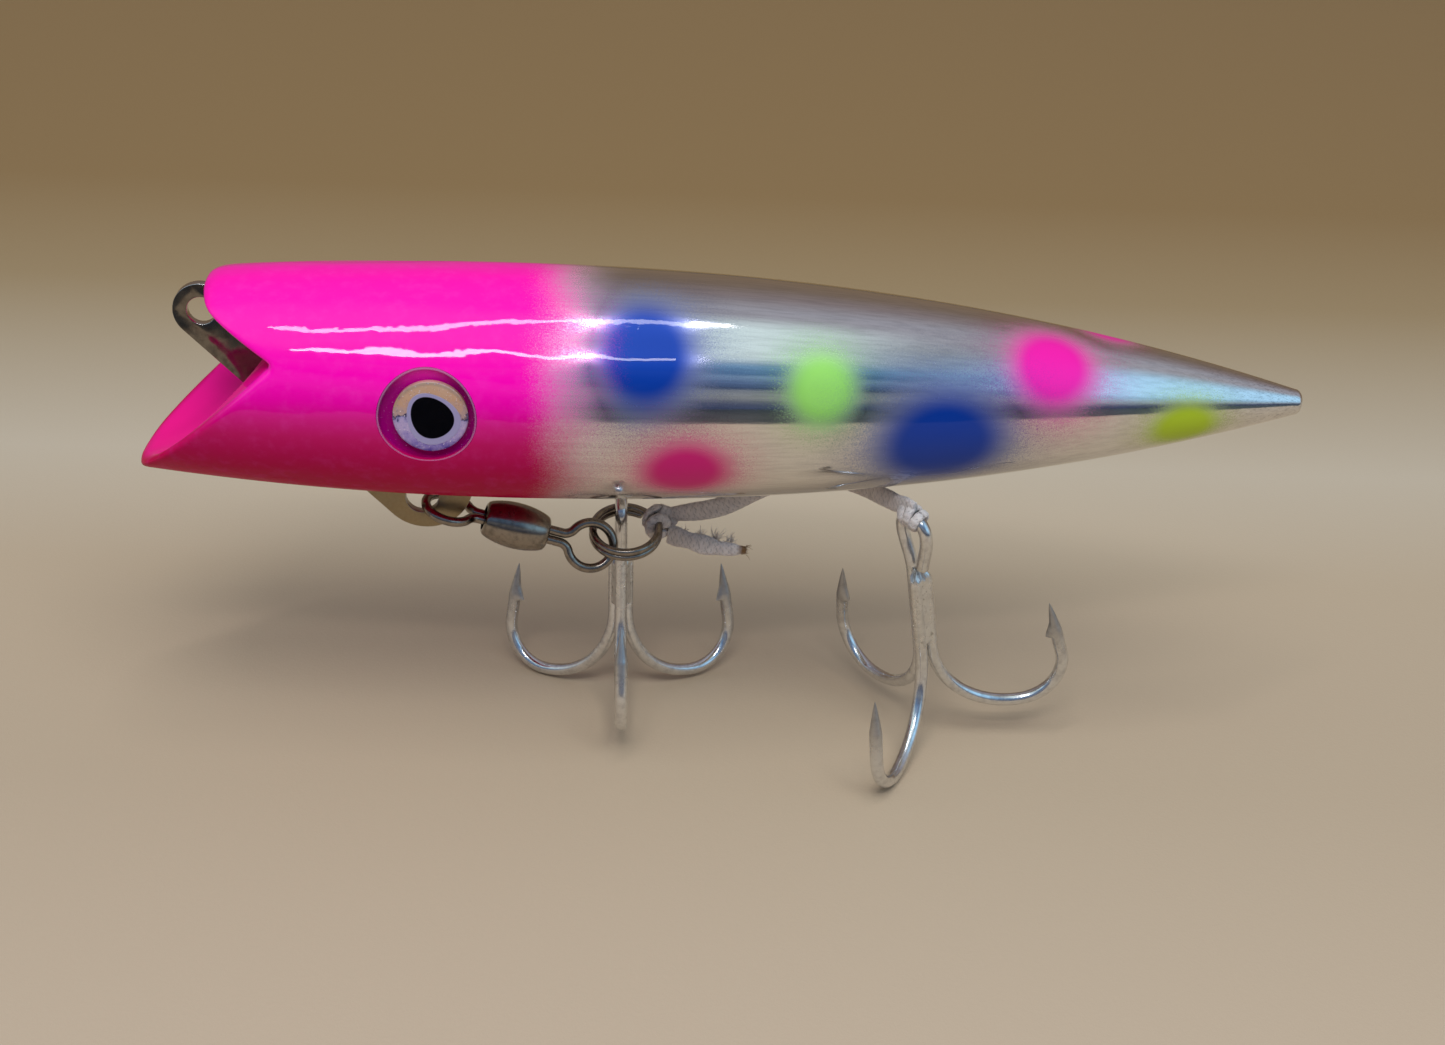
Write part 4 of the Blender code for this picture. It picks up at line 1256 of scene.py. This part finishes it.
def make_hitch(finish):
    parts = [hitch_wrap(-11.5, 2.0, 0.0), hitch_wrap(11.5, -2.0, 0.5)]
    parts += [hitch_strand(-6, -1), hitch_strand(7, 1)]
    cord_piece("popper_cord_hitch", parts, finish, "front_cord", ["cord_ring_hitch"])


def make_run(finish):
    """The cord from the hitch to the tail treble's eye, in one piece that stands for the parts on its two
    bodies and rides on neither.
    """
    bend = PIVOTS["cord_bend"]
    front = resample([hitch_gather() + np.array([-0.3, 0, 0.1]), at(90.0, 4.5, -23.0), at(97.0, 4.6, -19.3),
                      bend + (0, 2.0, 2.2)], 0.2)
    eye, down, out = rear_eye()
    top = eye - down * HOOK_EYE_RADIUS
    rear = [at(110.5, 1.2, -16.4), at(115.5, -4.2, -16.4), top + out * 3.4 - down * 0.7,
            top + out * 1.3 - down * 1.5, top - down * 1.6 - out * 0.6]
    path = resample(list(front[::12]) + rear, 0.2)
    run = np.linspace(0, 1, len(path))
    width = (1.1 + 0.4 * smooth(run, 0.0, 0.12)) * (1 - 0.35 * smooth(run, 0.86, 1.0))
    made = cord_piece("popper_cord_run", [braided(path, width, CORD_THICKNESS, UP)], finish, None,
                      ["cord_front_run", "cord_rear_run"])
    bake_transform(made)


def make_tag(finish):
    """The hitch's loose end, frayed along its length and singed at its tip."""
    start = ring_point(HITCH_PLACE - 14, RING_RADIUS + 1.7, -1.6)
    path = resample([start, at(86.6, 3.5, -29.0), at(90.5, 2.9, -29.6), at(94.6, 2.0, -29.4)], 0.2)
    run = np.linspace(0, 1, len(path))
    width = 1.55 - 0.95 * smooth(run, 0.5, 1.0) + 0.16 * np.sin(run * 17)
    thickness = 0.45 - 0.2 * smooth(run, 0.7, 1.0)
    shell, along, relief = braided(path, width, thickness, UP, left=float(distances(path)[-1]))
    fray = []
    tufts = ((0.2, 26, 1.1), (0.4, 34, 1.6), (0.6, 60, 2.2), (0.78, 44, 1.6))
    for i, (share, fibres, length) in enumerate(tufts):
        foot = path[int(share * len(path))] + (0, 0.9, 0.35)
        fray += tuft(foot, (0.35, 0.3, 0.75), fibres, length, 3 + i)
    tip = tuft(path[-3], (0.9, 0, -0.2), 16, 1.2, 5)
    marks = {"along": np.concatenate([along, np.full(points_in(fray), 50.0), np.full(points_in(tip), 0.3)]),
             "relief": np.concatenate([relief, np.ones(points_in(fray + tip))])}
    piece("popper_cord_tag_end", [shell] + fray + tip, finish, "front_cord", ["cord_tag_end"], marks)


def make_hook_wrap(finish):
    """Three turns of cord round the wire of the tail treble's eye."""
    eye, down, out = rear_eye()
    side = np.cross(out, down)
    coils = []
    for degrees in (64, 90, 116):
        middle = math.radians(degrees)
        spoke = out * math.cos(middle) - down * math.sin(middle)
        across = unit(np.cross(spoke, side))
        points = [eye + spoke * HOOK_EYE_RADIUS + (spoke * math.cos(t) + side * math.sin(t)) * 1.38
                  + across * 0.25 * math.sin(t) for t in np.linspace(0, math.tau * 0.97, 40)]
        coils.append(braided(resample(points, 0.2), 0.62, 0.4, across, 0.55, 32))
    cord_piece("popper_cord_hook_wrap", coils, finish, "rear_cord", ["cord_hook_wrap"])


# ---------------------------------------------------------------- setting

# The floor's colours with distance from the camera, with a pale band and a darkening into the distance as
# painted light, and the sky's by degrees up from the front horizon
FLOOR_TONES_PAINTED_LIGHT = [(0.18, (0.49, 0.375, 0.265)), (0.24, (0.46, 0.35, 0.24)), (0.31, (0.49, 0.375, 0.255)),
               (0.36, (0.545, 0.45, 0.335)), (0.46, (0.345, 0.235, 0.118)), (0.54, (0.285, 0.168, 0.062)),
               (0.8, (0.32, 0.185, 0.068))]
SKY_TONES = [(0, (0.05, 0.07, 0.14)), (5, (0.09, 0.11, 0.18)), (12, (0.27, 0.29, 0.31)),
             (19, (0.22, 0.25, 0.30)), (21, (0.05, 0.08, 0.16)), (27, (0.11, 0.18, 0.34)),
             (33, (0.20, 0.32, 0.50)), (36, (0.09, 0.19, 0.36)), (44, (0.17, 0.33, 0.54)),
             (55, (0.26, 0.35, 0.48)), (75, (0.33, 0.36, 0.41)), (90, (0.38, 0.38, 0.44)),
             (110, (0.36, 0.36, 0.42)), (130, (0.25, 0.21, 0.22)), (150, (0.20, 0.15, 0.12)),
             (180, (0.20, 0.14, 0.09))]


def floor_finish():
    """A pale tabletop, warmer and darker with distance and crossed by a pale band, all painted light;
    reflections see a dark strip of painted shade in front of the lure.
    """
    m = Shader("tabletop")
    y = m.axes()[1]
    # The ramp paints light into the floor: a pale band behind the lure and a falloff into the dark distance.
    tone = m.ramp(m.over(m.add(y, 260.0), 1000.0), FLOOR_TONES_PAINTED_LIGHT)
    grain = m.noise(1.4, 4.0, 0.7)
    tone = m.mix(m.mul(grain, 0.10), tone, (0.52, 0.40, 0.28))
    # A dark strip in front of the lure is painted shade, seen only in reflections.
    mirrored = m.sub(1.0, m.node("ShaderNodeLightPath").outputs["Is Camera Ray"])
    tone = m.mix(m.mul(mirrored, m.step(y, -210.0, -260.0)), tone, (0.05, 0.045, 0.04))
    m.set(Base_Color=tone, Roughness=0.62, Normal=m.bump(grain, 0.25, 0.0002))
    return m.material


def make_floor(level):
    size = 6.0
    mesh = bpy.data.meshes.new("tabletop")
    corners = [(-size, -size, level), (size, -size, level), (size, size, level), (-size, size, level)]
    mesh.from_pydata(corners, [], [(0, 1, 2, 3)])
    mesh.materials.append(floor_finish())
    floor = bpy.data.objects.new("tabletop", mesh)
    bpy.context.scene.collection.objects.link(floor)


def make_world():
    """A soft studio: the camera sees a plain wall, and reflections see panels, a window and dim bands."""
    world = bpy.data.worlds.new("studio")
    world.use_nodes = True
    bpy.context.scene.world = world
    m = Shader("studio", world.node_tree)
    x, y, z = m.axes(m.node("ShaderNodeTexCoord").outputs["Generated"])
    angle = m.math("ARCTAN2", z, m.mul(y, -1.0))
    share = m.over(m.most(angle, 0.0), math.pi)
    sky = m.ramp(share, [(degrees / 180, colour) for degrees, colour in SKY_TONES])
    up = m.mul(share, 180.0)
    panel = m.mul(m.mul(m.step(up, 42.0, 56.0), m.step(up, 104.0, 82.0)), m.step(x, 0.42, 0.18))
    sky = m.mix(panel, sky, (0.72, 0.88, 0.92))
    window = m.mul(m.mul(m.step(up, 2.0, 34.0), m.step(up, 98.0, 58.0)), m.step(x, 0.36, 0.62))
    sky = m.mix(window, sky, (0.50, 0.84, 1.16))
    sky = m.mix(m.mul(m.step(m.math("ABSOLUTE", x), 0.85, 0.98), 0.75), sky, (0.42, 0.40, 0.38))
    wall = m.mix(m.most(z, 0.0), (0.47, 0.40, 0.31), (0.62, 0.58, 0.54))
    seen = m.node("ShaderNodeLightPath").outputs["Is Camera Ray"]
    back = world.node_tree.nodes["Background"]
    m.feed(back.inputs["Color"], m.mix(seen, sky, wall))
    back.inputs["Strength"].default_value = 1.0


def lamp(name, place, rotation, size, power, colour):
    """A rectangular lamp."""
    data = bpy.data.lights.new(name, "AREA")
    data.shape = "RECTANGLE"
    data.size, data.size_y = size
    data.energy = power
    data.color = colour
    made = bpy.data.objects.new(name, data)
    made.location = place
    made.rotation_mode = "QUATERNION"
    made.rotation_quaternion = rotation
    bpy.context.scene.collection.objects.link(made)
    return made


def strip(name, start, end, width, radiance):
    """A narrow lamp between two points that faces the lure."""
    start = Vector(start)
    end = Vector(end)
    middle = (start + end) / 2
    length = (end - start).length
    along = (end - start).normalized()
    facing = (middle - along * middle.dot(along)).normalized()
    rotation = Matrix((along, facing.cross(along), facing)).transposed().to_quaternion()
    lamp(name, middle, rotation, (length, width), radiance * math.pi * length * width, (1.0, 0.97, 1.0))


def make_lights():
    """A soft key lamp that does not show in reflections, and two tubes that do."""
    place = Vector((0.10, -0.55, 0.85))
    towards = (place - Vector((0.01, 0.0, -0.01))).to_track_quat("Z", "Y")
    key = lamp("key", place, towards, (0.75, 0.45), 5.5, (0.93, 0.97, 1.0))
    key.visible_glossy = False
    strip("front_tube", (-0.27, -0.60, 0.64), (0.10, -0.60, 0.68), 0.045, 20.0)
    strip("roof_tube", (-0.27, -0.36, 0.83), (0.13, -0.04, 0.84), 0.05, 15.0)


def make_camera():
    """Looks down at the left side from a little ahead of the middle."""
    yaw = math.radians(4.0)
    pitch = math.radians(26.67)
    roll = math.radians(3.15)
    forward = Vector((math.sin(yaw) * math.cos(pitch), math.cos(yaw) * math.cos(pitch), -math.sin(pitch)))
    level = Vector((math.cos(yaw), -math.sin(yaw), 0.0))
    above = level.cross(forward)
    right = level * math.cos(roll) + above * math.sin(roll)
    up = above * math.cos(roll) - level * math.sin(roll)
    data = bpy.data.cameras.new("camera")
    data.sensor_width = 36.0
    data.lens = 52.27
    data.clip_start = 0.01
    made = bpy.data.objects.new("camera", data)
    turn = Matrix((right, up, -forward)).transposed().to_4x4()
    made.matrix_world = Matrix.Translation(Vector((69.6 - NOSE, -297.18, 126.15)) * MM) @ turn
    bpy.context.scene.collection.objects.link(made)
    bpy.context.scene.camera = made


def dress_hidden_parts():
    """Gives the CAD nodes inside the wood their materials."""
    for name, finish in (("plate_lock_pin", pin_steel()), ("ballast_front", lead()), ("ballast_rear", lead()),
                         ("ballast_plug_front", plain_wood()), ("ballast_plug_rear", plain_wood())):
        node = frame["nodes"][name]
        node.data.materials.clear()
        node.data.materials.append(finish)


def clear_start_scene():
    for existing in list(bpy.data.objects):
        if existing.type in {"CAMERA", "LIGHT"} or existing.name == "Cube":
            bpy.data.objects.remove(existing)


def main():
    clear_start_scene()
    nickel = dark_nickel()
    tinned = hook_steel()
    cord = braid()
    resin = eye_resin()
    make_body(lacquer())
    make_plate(plate_steel())
    make_eye("left", -1, resin)
    make_eye("right", 1, resin)
    make_swivel(nickel)
    make_ring(nickel)
    front_eye = ring_point(FRONT_TREBLE["place"], lift=FRONT_TREBLE["lift"])
    make_treble("front_treble", front_eye, FRONT_TREBLE, tinned, 1.0)
    make_treble("rear_treble", rear_eye()[0], REAR_TREBLE, tinned, 4.0)
    make_hitch(cord)
    make_run(cord)
    make_tag(cord)
    make_hook_wrap(cord)
    dress_hidden_parts()
    make_world()
    make_floor(cad_low.z - 0.4 * MM)
    make_lights()
    make_camera()
    bpy.context.scene.view_settings.view_transform = "Standard"


main()
